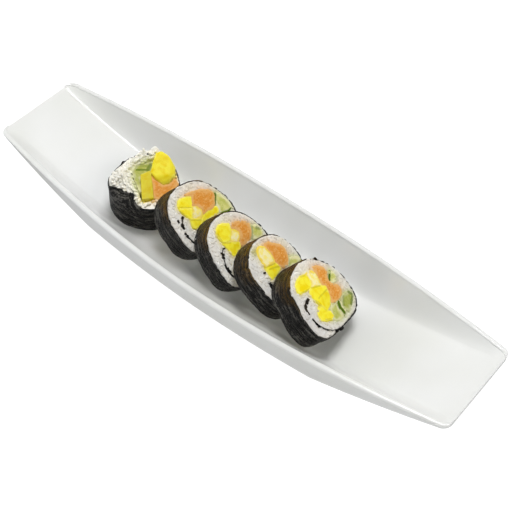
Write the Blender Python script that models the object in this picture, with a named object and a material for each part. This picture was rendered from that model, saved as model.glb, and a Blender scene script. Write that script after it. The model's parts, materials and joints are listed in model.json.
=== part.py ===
"""Five slices of a thick maki roll on a long, boat-shaped porcelain plate.

Sizes in this file are millimetres and become metres when a mesh is made.
Frame: the origin is the centre of the plate's foot, +X runs along the plate,
+Y across it and +Z up.

Each slice has a frame of its own, an empty at the middle of its upper cut
face: local Z is the roll's axis, pointing out of that face, local Y points up
the face and local X across it. Slice 1 lies on its cut end, and slices 2 to 5
lean on one another like fallen dominoes.
"""
import math
from dataclasses import dataclass, field

import bmesh
import bpy
from mathutils import Matrix, Vector

MM = 0.001

# Plate
PLATE_LENGTH = 350.0
RIM_HALF_WIDTH_END = 32.6
RIM_HALF_WIDTH_MIDDLE = 48.2
RIM_HEIGHT_END = 26.8
RIM_HEIGHT_MIDDLE = 20.2
RIM_THICKNESS = 3.4
RIM_ROUNDING = 1.2
CORNER_RADIUS = 4.5
WALL_FLARE = math.radians(10.6)
FOOT_HALF_LENGTH = 90.0
FOOT_ROUNDING = 1.2
END_THICKNESS = 4.0
FLOOR_HEIGHT = 4.5
FLOOR_HALF_WIDTH = 24.5
FLOOR_FLAT_HALF_LENGTH = 78.0
FLOOR_RISE_POWER = 1.25
COVE_POWER = 1.9
LIP_DEPTH = 1.0

# Slices
NORI_THICKNESS = 0.55
SLIT_CLEARANCE = 0.35
FIT_CLEARANCE = 0.4
RICE_RECESS = 0.5
FILLING_RECESS = 0.15
FILLING_INSET = 0.2
HOLE_GROWTH = 0.3
PLATE_CLEARANCE = 0.35
ROUND_STEPS = 40
SHARP_EDGE = math.radians(35.0)

COLOURS = {
    "porcelain": ((0.86, 0.87, 0.86), 0.12),
    "nori": ((0.018, 0.017, 0.013), 0.55),
    "rice": ((0.80, 0.78, 0.74), 0.45),
    "radish": ((0.95, 0.72, 0.02), 0.30),
    "omelette": ((0.95, 0.80, 0.30), 0.50),
    "salmon": ((0.86, 0.33, 0.10), 0.35),
    "cucumber": ((0.42, 0.55, 0.12), 0.30),
}


@dataclass(frozen=True)
class Slice:
    """One slice of the roll: where it lies and what shows on its cut face.

    x, y: middle of the upper cut face on the plate.
    heading, pitch: direction of the face's normal, in degrees.
    radii: the nori's outer radius, one for every 30 degrees from local +X.
    flap: where the nori's inner end runs through the rice, tip first.
    flap_joins_at: the angle where that end meets the outer ring.
    fillings: the corners of each filling's section, by node name.
    tops: how far a filling stands out of the face, and the slope of its top;
        with no slope the top is a dome.
    """

    number: int
    x: float
    y: float
    heading: float
    pitch: float
    thickness: float
    radii: tuple
    fillings: dict
    flap: tuple = ()
    flap_joins_at: float = 0.0
    tops: dict = field(default_factory=dict)


SLICE_1 = Slice(
    number=1,
    x=-69.4,
    y=-6.1,
    heading=-35.8,
    pitch=81.9,
    thickness=22.6,
    radii=(22.4, 23.2, 23.6, 23.7, 23.7, 23.5, 23.3, 23.0, 22.7, 23.7, 24.0, 23.5),
    fillings={
        "radish_slab": ((-4.6, 0.6), (3.6, 1.8), (3.6, -5), (2.2, -15.6), (-4, -16.2), (-5.4, -14)),
        "radish_chunk": ((3.9, 2.3), (6, -2.3), (10, -6.6), (14, -6.4), (18.5, -2.6),
                         (20.3, 4), (17.2, 11), (13.5, 14.8), (10, 14), (6.8, 8.5)),
        "salmon": ((3.9, 1.5), (3.9, -5), (2.5, -15.8), (7, -17.5), (14, -14),
                   (20, -7.5), (18.5, -2.9), (14, -6.7), (10, -6.9), (6, -2.6)),
        "cucumber": ((-7, 1.5), (-6, 7.5), (-3, 10.8), (2, 11.8), (5.5, 12.2),
                     (6.6, 8.8), (3.7, 2.5), (-4.7, 1)),
    },
    tops={
        "radish_slab": (1.6, 0.28),
        "radish_chunk": (4.2, 0.0),
        "salmon": (0.4, 0.06),
        "cucumber": (0.9, 0.05),
    },
)

SLICE_2 = Slice(
    number=2,
    x=-17.6,
    y=-7.1,
    heading=-3.6,
    pitch=51.9,
    thickness=20.5,
    radii=(20.8, 20.4, 22.8, 24.5, 26.3, 24.7, 22.7, 24.4, 22.8, 21.7, 22.7, 22.1),
    fillings={
        "radish_a": ((-12.2, 12), (-11.5, 16), (-7.5, 18.3), (-3, 18), (-2, 14.5), (-3.5, 11.3), (-8, 11)),
        "radish_b": ((-12.2, 11.6), (-8, 10.7), (-3.5, 11), (-3.6, 8), (-4.5, 5),
                     (-3, 0.7), (-3.5, -4.5), (-8.5, -5), (-11.8, -1), (-11.8, 6)),
        "radish_c": ((-2.7, 0.4), (0.3, 1.1), (3, 0.9), (8, 1.2), (10, 0.6),
                     (10.4, -5.5), (6, -7), (-3.1, -6)),
        "omelette": ((-3.3, 8), (-1.5, 8.2), (0.5, 5.5), (0.3, 1.5), (-2.7, 0.9), (-4.2, 4.8)),
        "salmon": ((-2.8, 18), (1, 18.3), (5.5, 17.4), (10, 14.4), (13.7, 10),
                   (12.3, 6.5), (10.3, 2.5), (8, 1.6), (3, 1.3), (0.6, 1.6),
                   (0.8, 5.5), (-1.4, 8.5), (-3.2, 11), (-1.8, 14.5)),
        "cucumber": ((10.4, 1.6), (12.6, 6.4), (14.3, 8), (17.5, 5.5), (18.4, 0),
                     (17, -6), (14, -8.5), (10.8, -6)),
    },
    flap=((-13.7, 8), (-14.6, 5.6), (-16.5, 4.6), (-17.1, 1), (-17.6, -2),
          (-17.2, -6), (-15.6, -10.5), (-12.3, -15), (-7.5, -18.8)),
    flap_joins_at=266.0,
)

SLICE_3 = Slice(
    number=3,
    x=14.9,
    y=-11.3,
    heading=0.3,
    pitch=49.3,
    thickness=16.2,
    radii=(21.9, 22.4, 24.6, 25.7, 25.2, 21.9, 20.8, 23.2, 22.2, 21.3, 22.7, 23.1),
    fillings={
        "radish_a": ((-8.6, 13), (-7.8, 17.5), (-4.2, 20.8), (-0.8, 20.2),
                     (2.3, 16.6), (0.9, 13), (-2, 11.4), (-6, 11.2)),
        "radish_b": ((-8.4, 12.5), (-6, 10.9), (-2, 11), (-1.2, 8), (-1.2, 5.5),
                     (1.2, 2.3), (0.3, -3.5), (-4, -4.5), (-7.8, -1), (-8.4, 5)),
        "omelette": ((-1.8, 11), (1, 12.6), (3.4, 11.3), (5.3, 8), (4.3, 5.2),
                     (1.5, 4.2), (-0.9, 5.7), (-0.9, 8)),
        "salmon": ((2.6, 16.6), (5, 17.8), (9.2, 17.2), (13.2, 14.4), (15.6, 10.4),
                   (13.4, 6.5), (12.4, 2), (11.5, -5.2), (0.7, -5), (1.6, 2.3),
                   (1.8, 3.9), (4.6, 4.9), (5.7, 8), (3.7, 11.6), (1.3, 13)),
        "cucumber": ((12.8, 2), (13.8, 6.4), (16.3, 8.6), (18.3, 6), (18.8, 0), (17.5, -5), (12, -5.2)),
    },
    flap=((-9.4, 8.8), (-11.5, 7), (-13.1, 4.8), (-14.4, 1.5), (-15.5, -1.5),
          (-15.5, -6), (-14, -11), (-11, -15.6), (-6.5, -19)),
    flap_joins_at=267.0,
)

SLICE_4 = Slice(
    number=4,
    x=44.6,
    y=-10.9,
    heading=18.4,
    pitch=50.7,
    thickness=15.3,
    radii=(22.9, 25.1, 25.3, 25.1, 23.9, 20.0, 19.3, 22.1, 23.8, 24.3, 23.7, 21.7),
    fillings={
        "radish": ((-8.7, 9.2), (-4, 11), (0, 9.9), (3.5, 9.5), (5, 6), (4.6, 0),
                   (2, -5), (-5, -5), (-9, 0)),
        "omelette": ((-3.8, 17.5), (-2.2, 20.4), (2.8, 20.8), (6, 18.6), (7, 15),
                     (5.8, 11.3), (3.5, 9.9), (0, 10.3), (-4, 11.4), (-5.2, 14)),
        "salmon": ((5.2, 20.2), (7.4, 19.8), (11.5, 16.8), (15.3, 12.4), (16.8, 7),
                   (15.4, 2), (11, -1.2), (8.5, -4.5), (2.6, -5), (5, 0), (5.4, 6),
                   (6.2, 11.2), (7.4, 15), (6.4, 18.8)),
        "cucumber": ((11.3, -1.5), (15.6, 1.6), (18.8, -2), (18.5, -8), (14, -10.5),
                     (9, -8.5), (9, -4.6)),
    },
    flap=((-11, 4.6), (-12.6, 0), (-13.5, -6), (-12.6, -12), (-9.6, -17.5), (-5, -21.5)),
    flap_joins_at=271.0,
)

SLICE_5 = Slice(
    number=5,
    x=72.8,
    y=-8.4,
    heading=17.4,
    pitch=51.9,
    thickness=18.0,
    radii=(22.3, 21.5, 22.9, 23.2, 23.5, 21.4, 24.0, 27.1, 22.7, 23.1, 26.7, 23.7),
    fillings={
        "radish_a": ((-12, 14.2), (-9.8, 17.6), (-4.8, 19.2), (0.2, 18), (2, 14),
                     (2.2, 9), (0.6, 7.4), (-2, 9.2), (-6, 11.2)),
        "radish_b": ((-8, 7.6), (-6.2, 10.8), (-2, 8.8), (0.6, 7), (3.3, 5.6),
                     (5.3, 5.2), (5.3, 0.6), (3.2, -2.4), (-0.2, -5.4), (-3, -7.9),
                     (-6, -7.9), (-6, -4), (-7.6, -1), (-8.4, 3)),
        "radish_c": ((-14.6, -5), (-12, -1.8), (-7.9, -1.3), (-6.4, -4), (-6.4, -8),
                     (-7.6, -12), (-10.2, -11.4), (-13.2, -8.6)),
        "omelette": ((2.3, 14), (1.6, 17), (4.8, 16.6), (7.8, 14.4), (7.7, 10),
                     (5.4, 5.9), (3.3, 5.9), (1.2, 7.2), (2.5, 8.8)),
        "salmon": ((8.1, 10), (8.1, 14.4), (10.6, 14), (13, 9.6), (11.8, 5), (11.2, 1),
                   (12.3, -4), (11.4, -8.5), (7, -10.2), (2.4, -8), (0.1, -5.5),
                   (3.5, -2.5), (5.6, 0.5), (5.7, 5.7)),
        "cucumber_a": ((11.8, 2), (12.1, 4.8), (13.4, 8.6), (16.3, 8.6), (18.3, 4.5),
                       (18.4, -1), (16.6, -5.5), (13.6, -4.5), (12.4, -3)),
        "cucumber_b": ((-6.2, -8.3), (-3, -8.3), (-0.1, -6), (2.1, -8.2),
                       (1.6, -11.5), (-0.8, -16), (-4, -14.8), (-7.2, -12.1)),
        "cucumber_c": ((2.5, -8.5), (6.8, -10.6), (9, -12), (8, -14.5), (7.6, -17.8),
                       (3.5, -18), (-0.4, -16.5), (1.9, -11.5)),
        "cucumber_d": ((9.4, -12), (12.5, -12), (16.3, -14.8), (15.5, -17),
                       (11.5, -18.6), (8, -17.8), (8.4, -14.5)),
    },
    flap=((-9.3, 6.8), (-11.5, 7.6), (-14.6, 7), (-16.3, 4.6), (-17.3, 2), (-18.4, -2),
          (-18.8, -6.3), (-17.6, -11), (-15, -15.4), (-11.4, -18.8)),
    flap_joins_at=251.0,
)

# Slice 1 is the roll's end: its nori folds inwards over the rice on one side,
# and its rice stands up in three mounds (x, y, height, spread).
FOLD_CENTRE = math.radians(212.0)
FOLD_SPREAD = math.radians(30.0)
FOLD_REACH = 7.5
FOLD_RISE = 3.0
MOUNDS = ((-13.5, 5.5, 3.6, 6.0), (6.0, 17.5, 5.0, 5.5), (-4.5, 14.5, 3.0, 5.0))
HEAP_RINGS = (5.0, 10.0, 14.0, 18.0)
HEAP_STEPS = 28


# Plain geometry

def catmull_rom(before, start, end, after, t):
    """Return the value a share t of the way from start to end on a smooth curve."""
    linear = end - before
    square = 2 * before - 5 * start + 4 * end - after
    cube = 3 * start - before - 3 * end + after
    return 0.5 * (2 * start + linear * t + square * t * t + cube * t ** 3)


def radius_at(radii, angle):
    """Return the outline's radius at an angle, smooth through the listed radii."""
    count = len(radii)
    place = (angle / (2 * math.pi)) % 1.0 * count
    first = math.floor(place)
    ring = [radii[(first + step) % count] for step in (-1, 0, 1, 2)]
    return catmull_rom(*ring, place - first)


def ring_outline(radii, inward=0.0, steps=ROUND_STEPS):
    """Return the points of the slice's round outline, moved inward."""
    angles = [2 * math.pi * step / steps for step in range(steps)]
    return [Vector(((radius_at(radii, a) - inward) * math.cos(a),
                    (radius_at(radii, a) - inward) * math.sin(a))) for a in angles]


def signed_area(points):
    """Return the area inside the points, positive when they run anticlockwise."""
    return 0.5 * sum(points[i - 1].cross(points[i]) for i in range(len(points)))


def offset_outline(points, growth):
    """Return a closed outline with each side moved outwards by growth."""
    moved = []
    for i, corner in enumerate(points):
        to_corner = (corner - points[i - 1]).normalized()
        from_corner = (points[(i + 1) % len(points)] - corner).normalized()
        out_a = Vector((to_corner.y, -to_corner.x))
        out_b = Vector((from_corner.y, -from_corner.x))
        bisector = (out_a + out_b).normalized()
        moved.append(corner + bisector * growth / max(bisector.dot(out_a), 0.6))
    return moved


def cut_corners(points, share=0.28, longest=1.6):
    """Return a closed outline with each corner replaced by a short side."""
    rounded = []
    for i, corner in enumerate(points):
        for other in (points[i - 1], points[(i + 1) % len(points)]):
            side = other - corner
            rounded.append(corner + side.normalized() * min(longest, share * side.length))
    return rounded


def grown_outline(corners, growth):
    """Return a filling's section with sharp corners, grown or shrunk by growth."""
    points = [Vector(corner) for corner in corners]
    if signed_area(points) < 0:
        points.reverse()
    return offset_outline(points, growth)


def smooth_path(points, steps=2):
    """Return an open path with extra points between the given ones."""
    path = []
    ends = [points[0] * 2 - points[1], *points, points[-1] * 2 - points[-2]]
    for i in range(1, len(ends) - 2):
        for step in range(steps):
            path.append(catmull_rom(*ends[i - 1:i + 3], step / steps))
    path.append(points[-1])
    return path


def strip_outline(path, thickness, longer=(0.0, 0.0)):
    """Return the closed outline of a strip along a path, longer at each end."""
    start = path[0] + (path[0] - path[1]).normalized() * longer[0]
    end = path[-1] + (path[-1] - path[-2]).normalized() * longer[1]
    path = [start, *path[1:-1], end]
    left = []
    right = []
    for i, point in enumerate(path):
        along = (path[min(i + 1, len(path) - 1)] - path[max(i - 1, 0)]).normalized()
        across = Vector((-along.y, along.x)) * thickness / 2
        left.append(point + across)
        right.append(point - across)
    outline = right + left[::-1]
    return outline if signed_area(outline) > 0 else outline[::-1]


# Meshes

def make_material(kind):
    """Return the Principled material of one ingredient, made once."""
    material = bpy.data.materials.get(kind)
    if material:
        return material
    colour, roughness = COLOURS[kind]
    material = bpy.data.materials.new(kind)
    material.use_nodes = True
    shader = material.node_tree.nodes["Principled BSDF"]
    shader.inputs["Base Color"].default_value = (*colour, 1.0)
    shader.inputs["Roughness"].default_value = roughness
    shader.inputs["Metallic"].default_value = 0.0
    return material


def make_object(name, kind, mesh_builder, parent=None):
    """Turn a bmesh drawn in millimetres into an object under its parent."""
    bmesh.ops.recalc_face_normals(mesh_builder, faces=mesh_builder.faces)
    bmesh.ops.scale(mesh_builder, vec=(MM, MM, MM), verts=mesh_builder.verts)
    mesh = bpy.data.meshes.new(name)
    mesh_builder.to_mesh(mesh)
    mesh_builder.free()
    mesh.materials.append(make_material(kind))
    mesh.shade_smooth()
    mesh.set_sharp_from_angle(angle=SHARP_EDGE)
    obj = bpy.data.objects.new(name, mesh)
    bpy.context.scene.collection.objects.link(obj)
    obj.parent = parent
    return obj


def skin_loops(bm, loops):
    """Join closed loops of equal length with faces, each loop to the next."""
    count = len(loops[0])
    for lower, upper in zip(loops, loops[1:]):
        for i in range(count):
            j = (i + 1) % count
            bm.faces.new((lower[i], lower[j], upper[j], upper[i]))


def prism(outline, levels, slope=0.0):
    """Return a bmesh of stacked copies of an outline, closed at both ends.

    levels: (height, inset) of each copy, from the bottom up.
    slope: rise of the upper copies for each millimetre along Y.
    """
    bm = bmesh.new()
    loops = []
    front = min(point.y for point in outline)
    for i, (height, inset) in enumerate(levels):
        points = offset_outline(outline, -inset) if inset else outline
        tilt = slope if i else 0.0
        loops.append([bm.verts.new((p.x, p.y, height + tilt * (p.y - front))) for p in points])
    skin_loops(bm, loops)
    for loop in (loops[0], loops[-1]):
        edges = [bm.edges.get((loop[i - 1], loop[i])) for i in range(len(loop))]
        bmesh.ops.triangle_fill(bm, edges=edges, use_beauty=True)
    return bm


def connected_bodies(bm):
    """Return the vertices of each separate body in a bmesh."""
    left = set(bm.verts)
    bodies = []
    while left:
        body = []
        reached = [left.pop()]
        while reached:
            vert = reached.pop()
            body.append(vert)
            near = {edge.other_vert(vert) for edge in vert.link_edges} & left
            left -= near
            reached.extend(near)
        bodies.append(body)
    return bodies


def combine(target, tools, operation):
    """Apply a Boolean of each tool object to the target and remove the tools.

    Crumbs cut loose between neighbouring holes are dropped.
    """
    for tool in tools:
        modifier = target.modifiers.new("cut", "BOOLEAN")
        modifier.operation = operation
        modifier.solver = "EXACT"
        modifier.object = tool
        bpy.context.view_layer.update()
        graph = bpy.context.evaluated_depsgraph_get()
        result = bpy.data.meshes.new_from_object(target.evaluated_get(graph))
        target.modifiers.clear()
        target.data = result
        bpy.data.objects.remove(tool)
    bm = bmesh.new()
    bm.from_mesh(target.data)
    bodies = connected_bodies(bm)
    crumbs = [vert for body in bodies if body is not max(bodies, key=len) for vert in body]
    bmesh.ops.delete(bm, geom=crumbs, context="VERTS")
    bmesh.ops.dissolve_limit(bm, angle_limit=math.radians(0.5), verts=bm.verts, edges=bm.edges)
    bmesh.ops.triangulate(bm, faces=bm.faces)
    bm.to_mesh(target.data)
    bm.free()
    target.data.set_sharp_from_angle(angle=SHARP_EDGE)


# Plate

def rim_half_width(x):
    """Return the plate's outer half width at the rim."""
    widest = RIM_HALF_WIDTH_MIDDLE - RIM_HALF_WIDTH_END
    return RIM_HALF_WIDTH_END + widest * (1 - abs(2 * x / PLATE_LENGTH) ** 2)


def rim_height(x):
    """Return the height of the rim, lowest at the middle of the plate."""
    sag = RIM_HEIGHT_END - RIM_HEIGHT_MIDDLE
    return RIM_HEIGHT_MIDDLE + sag * abs(2 * x / PLATE_LENGTH) ** 1.5


def end_share(x, start):
    """Return 0 up to start and then the share of the way to the plate's end."""
    return max(0.0, (abs(x) - start) / (PLATE_LENGTH / 2 - start))


def underside_height(x):
    """Return the height of the underside: a flat foot, then a straight rise."""
    return (RIM_HEIGHT_END - END_THICKNESS) * end_share(x, FOOT_HALF_LENGTH)


def floor_height(x):
    """Return the height of the plate's floor, flat and then rising to the end."""
    rise = RIM_HEIGHT_END - LIP_DEPTH - FLOOR_HEIGHT
    return FLOOR_HEIGHT + rise * end_share(x, FLOOR_FLAT_HALF_LENGTH) ** FLOOR_RISE_POWER


def cove_height(x, y):
    """Return the height of the floor and the coved side walls at a place."""
    inner = rim_half_width(x) - RIM_THICKNESS
    share = max(0.0, (abs(y) - FLOOR_HALF_WIDTH) / (inner - FLOOR_HALF_WIDTH))
    wall = rim_height(x) - 0.8 * RIM_ROUNDING - floor_height(x)
    return floor_height(x) + wall * min(share, 1.0) ** COVE_POWER


def corner_pull(x):
    """Return how far the plan's rounded corner draws the side in at x."""
    past = abs(x) - (PLATE_LENGTH / 2 - CORNER_RADIUS)
    if past <= 0:
        return 0.0
    return CORNER_RADIUS - math.sqrt(max(CORNER_RADIUS ** 2 - past ** 2, 0.0))


def plate_section(x):
    """Return matched lists of (y, z) along half the top and the underside."""
    rim = rim_half_width(x)
    height = rim_height(x)
    inner = rim - RIM_THICKNESS
    cove = [FLOOR_HALF_WIDTH + (inner - FLOOR_HALF_WIDTH) * step / 5 for step in range(6)]
    top = [(y, cove_height(x, y)) for y in (0.0, FLOOR_HALF_WIDTH / 2, *cove)]
    top += [(rim - 0.7 * RIM_THICKNESS, height), (rim - 0.3 * RIM_THICKNESS, height),
            (rim, height - RIM_ROUNDING)]
    base = underside_height(x)
    foot = rim - (height - base) * math.tan(WALL_FLARE)
    flat = foot - FOOT_ROUNDING
    under = [(flat * step / 8, base) for step in range(9)]
    under += [(foot, base + FOOT_ROUNDING), (rim, height - RIM_ROUNDING)]
    pull = 1 - corner_pull(x) / rim
    return [(y * pull, z) for y, z in top], [(y * pull, z) for y, z in under]


def plate_stations():
    """Return the places along X where the plate's section is drawn."""
    half = PLATE_LENGTH / 2
    plain = [half * share for share in (0.0, 0.15, 0.3, 0.43, FOOT_HALF_LENGTH / half,
                                        0.59, 0.68, 0.77, 0.86, 0.935)]
    corner = [half - CORNER_RADIUS * (1 - math.sin(math.radians(a))) for a in (0, 35, 65, 90)]
    positive = plain + corner
    return [-x for x in reversed(positive[1:])] + positive


def make_plate():
    """Build the plate as one solid from its sections along X."""
    bm = bmesh.new()
    tops = []
    unders = []
    for x in plate_stations():
        top, under = plate_section(x)
        edge = {}
        row_top = []
        row_under = []
        for side in (-1, 1):
            order = range(len(top) - 1, 0, -1) if side < 0 else range(len(top))
            for i in order:
                upper = bm.verts.new((x, side * top[i][0], top[i][1]))
                shared = i == len(top) - 1
                lower = upper if shared else bm.verts.new((x, side * under[i][0], under[i][1]))
                edge[side] = upper
                row_top.append(upper)
                row_under.append(lower)
        tops.append(row_top)
        unders.append(row_under)
    for rows in (tops, unders):
        for left, right in zip(rows, rows[1:]):
            for i in range(len(left) - 1):
                bm.faces.new((left[i], left[i + 1], right[i + 1], right[i]))
    for end in (0, -1):
        for i in range(len(tops[end]) - 1):
            corners = dict.fromkeys((tops[end][i], tops[end][i + 1], unders[end][i + 1], unders[end][i]))
            bm.faces.new(tuple(corners))
    return make_object("plate", "porcelain", bm)


# Slices

def slice_axes(piece):
    """Return the slice's local X, Y and Z directions."""
    heading = math.radians(piece.heading)
    pitch = math.radians(piece.pitch)
    normal = Vector((math.cos(pitch) * math.cos(heading), math.cos(pitch) * math.sin(heading), math.sin(pitch)))
    up_face = (Vector((0, 0, 1)) - normal * normal.z).normalized()
    return up_face.cross(normal), up_face, normal


def resting_height(piece):
    """Return the height of the face's middle that lets the slice touch the plate."""
    across, up_face, normal = slice_axes(piece)
    lowest = -math.inf
    for point in ring_outline(piece.radii, steps=4 * ROUND_STEPS):
        corner = across * point.x + up_face * point.y - normal * piece.thickness
        lowest = max(lowest, cove_height(piece.x + corner.x, piece.y + corner.y) - corner.z)
    return lowest + PLATE_CLEARANCE


def make_slice_frame(piece):
    """Make the empty that carries a slice, at the middle of its upper face."""
    frame = bpy.data.objects.new(f"slice_{piece.number}", None)
    bpy.context.scene.collection.objects.link(frame)
    across, up_face, normal = slice_axes(piece)
    turn = Matrix((across, up_face, normal)).transposed().to_4x4()
    place = Vector((piece.x, piece.y, resting_height(piece))) * MM
    frame.matrix_world = Matrix.Translation(place) @ turn
    return frame


def make_fillings(piece, frame):
    """Make each filling as a rod through the slice, rounded at its upper rim."""
    bottom = -piece.thickness + RICE_RECESS
    for name, corners in piece.fillings.items():
        outline = cut_corners(grown_outline(corners, -FILLING_INSET))
        levels = [(bottom, 0.0), (-FILLING_RECESS - 0.5, 0.0), (-FILLING_RECESS, 0.45)]
        make_object(f"roll{piece.number}_{name}", name.split("_")[0], prism(outline, levels), frame)


def make_nori(piece, frame):
    """Make the nori: a ring round the slice and its inner end, in one solid."""
    bm = bmesh.new()
    loops = []
    for inward, height in ((0.0, 0.0), (NORI_THICKNESS, 0.0),
                           (NORI_THICKNESS, -piece.thickness), (0.0, -piece.thickness)):
        loops.append([bm.verts.new((p.x, p.y, height)) for p in ring_outline(piece.radii, inward)])
    skin_loops(bm, [*loops, loops[0]])
    nori = make_object(f"roll{piece.number}_nori", "nori", bm, frame)
    outline = strip_outline(flap_path(piece), NORI_THICKNESS)
    inner_end = prism(outline, [(0.2 - piece.thickness, 0.0), (-0.2, 0.0)])
    combine(nori, [make_object("inner_end", "nori", inner_end, frame)], "UNION")


def flap_path(piece):
    """Return the inner end's path from its tip to the middle of the ring's wall."""
    angle = math.radians(piece.flap_joins_at)
    reach = radius_at(piece.radii, angle) - NORI_THICKNESS / 2
    return smooth_path([*map(Vector, piece.flap), Vector((math.cos(angle), math.sin(angle))) * reach])


def make_rice(piece, frame):
    """Make the slice's rice, with a hole for each filling and a slit for the nori."""
    outline = ring_outline(piece.radii, NORI_THICKNESS + FIT_CLEARANCE)
    body = prism(outline, [(-piece.thickness + RICE_RECESS, 0.0), (-RICE_RECESS, 0.0)])
    rice = make_object(f"roll{piece.number}_rice", "rice", body, frame)
    through = [(-piece.thickness - 5, 0.0), (5.0, 0.0)]
    tools = []
    for name, corners in piece.fillings.items():
        hole = prism(grown_outline(corners, HOLE_GROWTH), through)
        tools.append(make_object(f"hole_{name}", "rice", hole, frame))
    slit = strip_outline(flap_path(piece), NORI_THICKNESS + 2 * SLIT_CLEARANCE, (SLIT_CLEARANCE, 2.0))
    tools.append(make_object("slit", "rice", prism(slit, through), frame))
    combine(rice, tools, "DIFFERENCE")


# Slice 1, the roll's ragged end

def fold_share(angle, wider=1.0):
    """Return how far the nori is folded in at an angle, from 0 to 1."""
    away = math.remainder(angle - FOLD_CENTRE, 2 * math.pi) / (FOLD_SPREAD * wider)
    return math.cos(away * math.pi / 2) ** 2 if abs(away) < 1 else 0.0


def make_end_nori(piece, frame):
    """Make slice 1's nori: a wall whose upper edge folds in over the rice."""
    bottom = -piece.thickness
    wall = NORI_THICKNESS
    loops = [[] for _ in range(8)]
    bm = bmesh.new()
    for step in range(ROUND_STEPS + 4):
        angle = 2 * math.pi * step / (ROUND_STEPS + 4)
        rim = radius_at(piece.radii, angle)
        fold = fold_share(angle)
        reach = FOLD_REACH * fold
        rise = FOLD_RISE * fold
        section = ((rim - 0.3, bottom), (rim, bottom + 0.8), (rim, -0.8),
                   (rim - 0.2 - 0.1 * reach, rise), (rim - wall - reach, 0.75 * rise),
                   (rim - wall - reach, 0.75 * rise - 0.6), (rim - wall, rise / 4 - 1.2),
                   (rim - wall, bottom))
        for loop, (radius, height) in zip(loops, section):
            loop.append(bm.verts.new((radius * math.cos(angle), radius * math.sin(angle), height)))
    skin_loops(bm, [*loops, loops[0]])
    make_object(f"roll{piece.number}_nori", "nori", bm, frame)


def heap_height(x, y):
    """Return the height of slice 1's rice above the cut plane."""
    height = 0.35 * math.sin(0.9 * x + 0.4) * math.cos(0.8 * y) - 0.2
    for mound_x, mound_y, rise, spread in MOUNDS:
        away = ((x - mound_x) ** 2 + (y - mound_y) ** 2) / spread ** 2
        height += rise * math.exp(-away)
    under_fold = fold_share(math.atan2(y, x), 1.5) * min(1.0, math.hypot(x, y) / 13.0) ** 4
    return height * (1 - under_fold) - 1.6 * under_fold


def make_end_rice(piece, frame):
    """Make slice 1's rice: a disc whose top is heaped, cut for the fillings."""
    bm = bmesh.new()
    edge = NORI_THICKNESS + FIT_CLEARANCE
    loops = []
    for ring in (*HEAP_RINGS, None):
        row = []
        for step in range(HEAP_STEPS):
            angle = 2 * math.pi * step / HEAP_STEPS
            radius = ring or radius_at(piece.radii, angle) - edge
            x = radius * math.cos(angle)
            y = radius * math.sin(angle)
            row.append(bm.verts.new((x, y, heap_height(x, y) - (0.0 if ring else 0.5))))
        loops.append(row)
    bottom = -piece.thickness + RICE_RECESS
    loops.append([bm.verts.new((vert.co.x, vert.co.y, bottom)) for vert in loops[-1]])
    skin_loops(bm, loops)
    for loop, height in ((loops[0], heap_height(0, 0)), (loops[-1], bottom)):
        centre = bm.verts.new((0, 0, height))
        for i in range(HEAP_STEPS):
            bm.faces.new((loop[i - 1], loop[i], centre))
    rice = make_object(f"roll{piece.number}_rice", "rice", bm, frame)
    tools = []
    for name, corners in piece.fillings.items():
        hole = prism(grown_outline(corners, HOLE_GROWTH), [(bottom - 5, 0.0), (12.0, 0.0)])
        tools.append(make_object(f"hole_{name}", "rice", hole, frame))
    combine(rice, tools, "DIFFERENCE")


def make_end_fillings(piece, frame):
    """Make slice 1's fillings, which stand out of its top to different heights."""
    bottom = -piece.thickness + RICE_RECESS
    for name, corners in piece.fillings.items():
        outline = cut_corners(grown_outline(corners, -FILLING_INSET))
        rise, slope = piece.tops[name]
        if slope:
            levels = [(bottom, 0.0), (rise - 1.0, 0.0), (rise - 0.4, 0.6)]
        else:
            levels = [(bottom, 0.0), (0.0, 0.0), (0.55 * rise, 0.8), (0.85 * rise, 2.2), (rise, 4.0)]
        bm = prism(outline, levels, slope)
        make_object(f"roll{piece.number}_{name}", name.split("_")[0], bm, frame)


def main():
    """Clear the scene and build the plate and its five slices."""
    for obj in list(bpy.data.objects):
        bpy.data.objects.remove(obj)
    make_plate()
    end_frame = make_slice_frame(SLICE_1)
    make_end_nori(SLICE_1, end_frame)
    make_end_rice(SLICE_1, end_frame)
    make_end_fillings(SLICE_1, end_frame)
    for piece in (SLICE_2, SLICE_3, SLICE_4, SLICE_5):
        frame = make_slice_frame(piece)
        make_nori(piece, frame)
        make_rice(piece, frame)
        make_fillings(piece, frame)


if __name__ == "__main__":
    main()
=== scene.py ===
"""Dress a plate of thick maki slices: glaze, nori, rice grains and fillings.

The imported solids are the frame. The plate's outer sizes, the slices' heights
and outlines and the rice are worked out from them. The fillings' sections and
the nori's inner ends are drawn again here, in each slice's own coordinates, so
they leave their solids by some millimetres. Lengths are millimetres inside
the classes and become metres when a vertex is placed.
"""
import json
import logging
import math
import random
from dataclasses import dataclass, field
from enum import Enum
from typing import Callable, Iterable, Sequence

import bpy
import numpy as np
from mathutils import Matrix, Vector, geometry, noise
from mathutils.bvhtree import BVHTree

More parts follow.
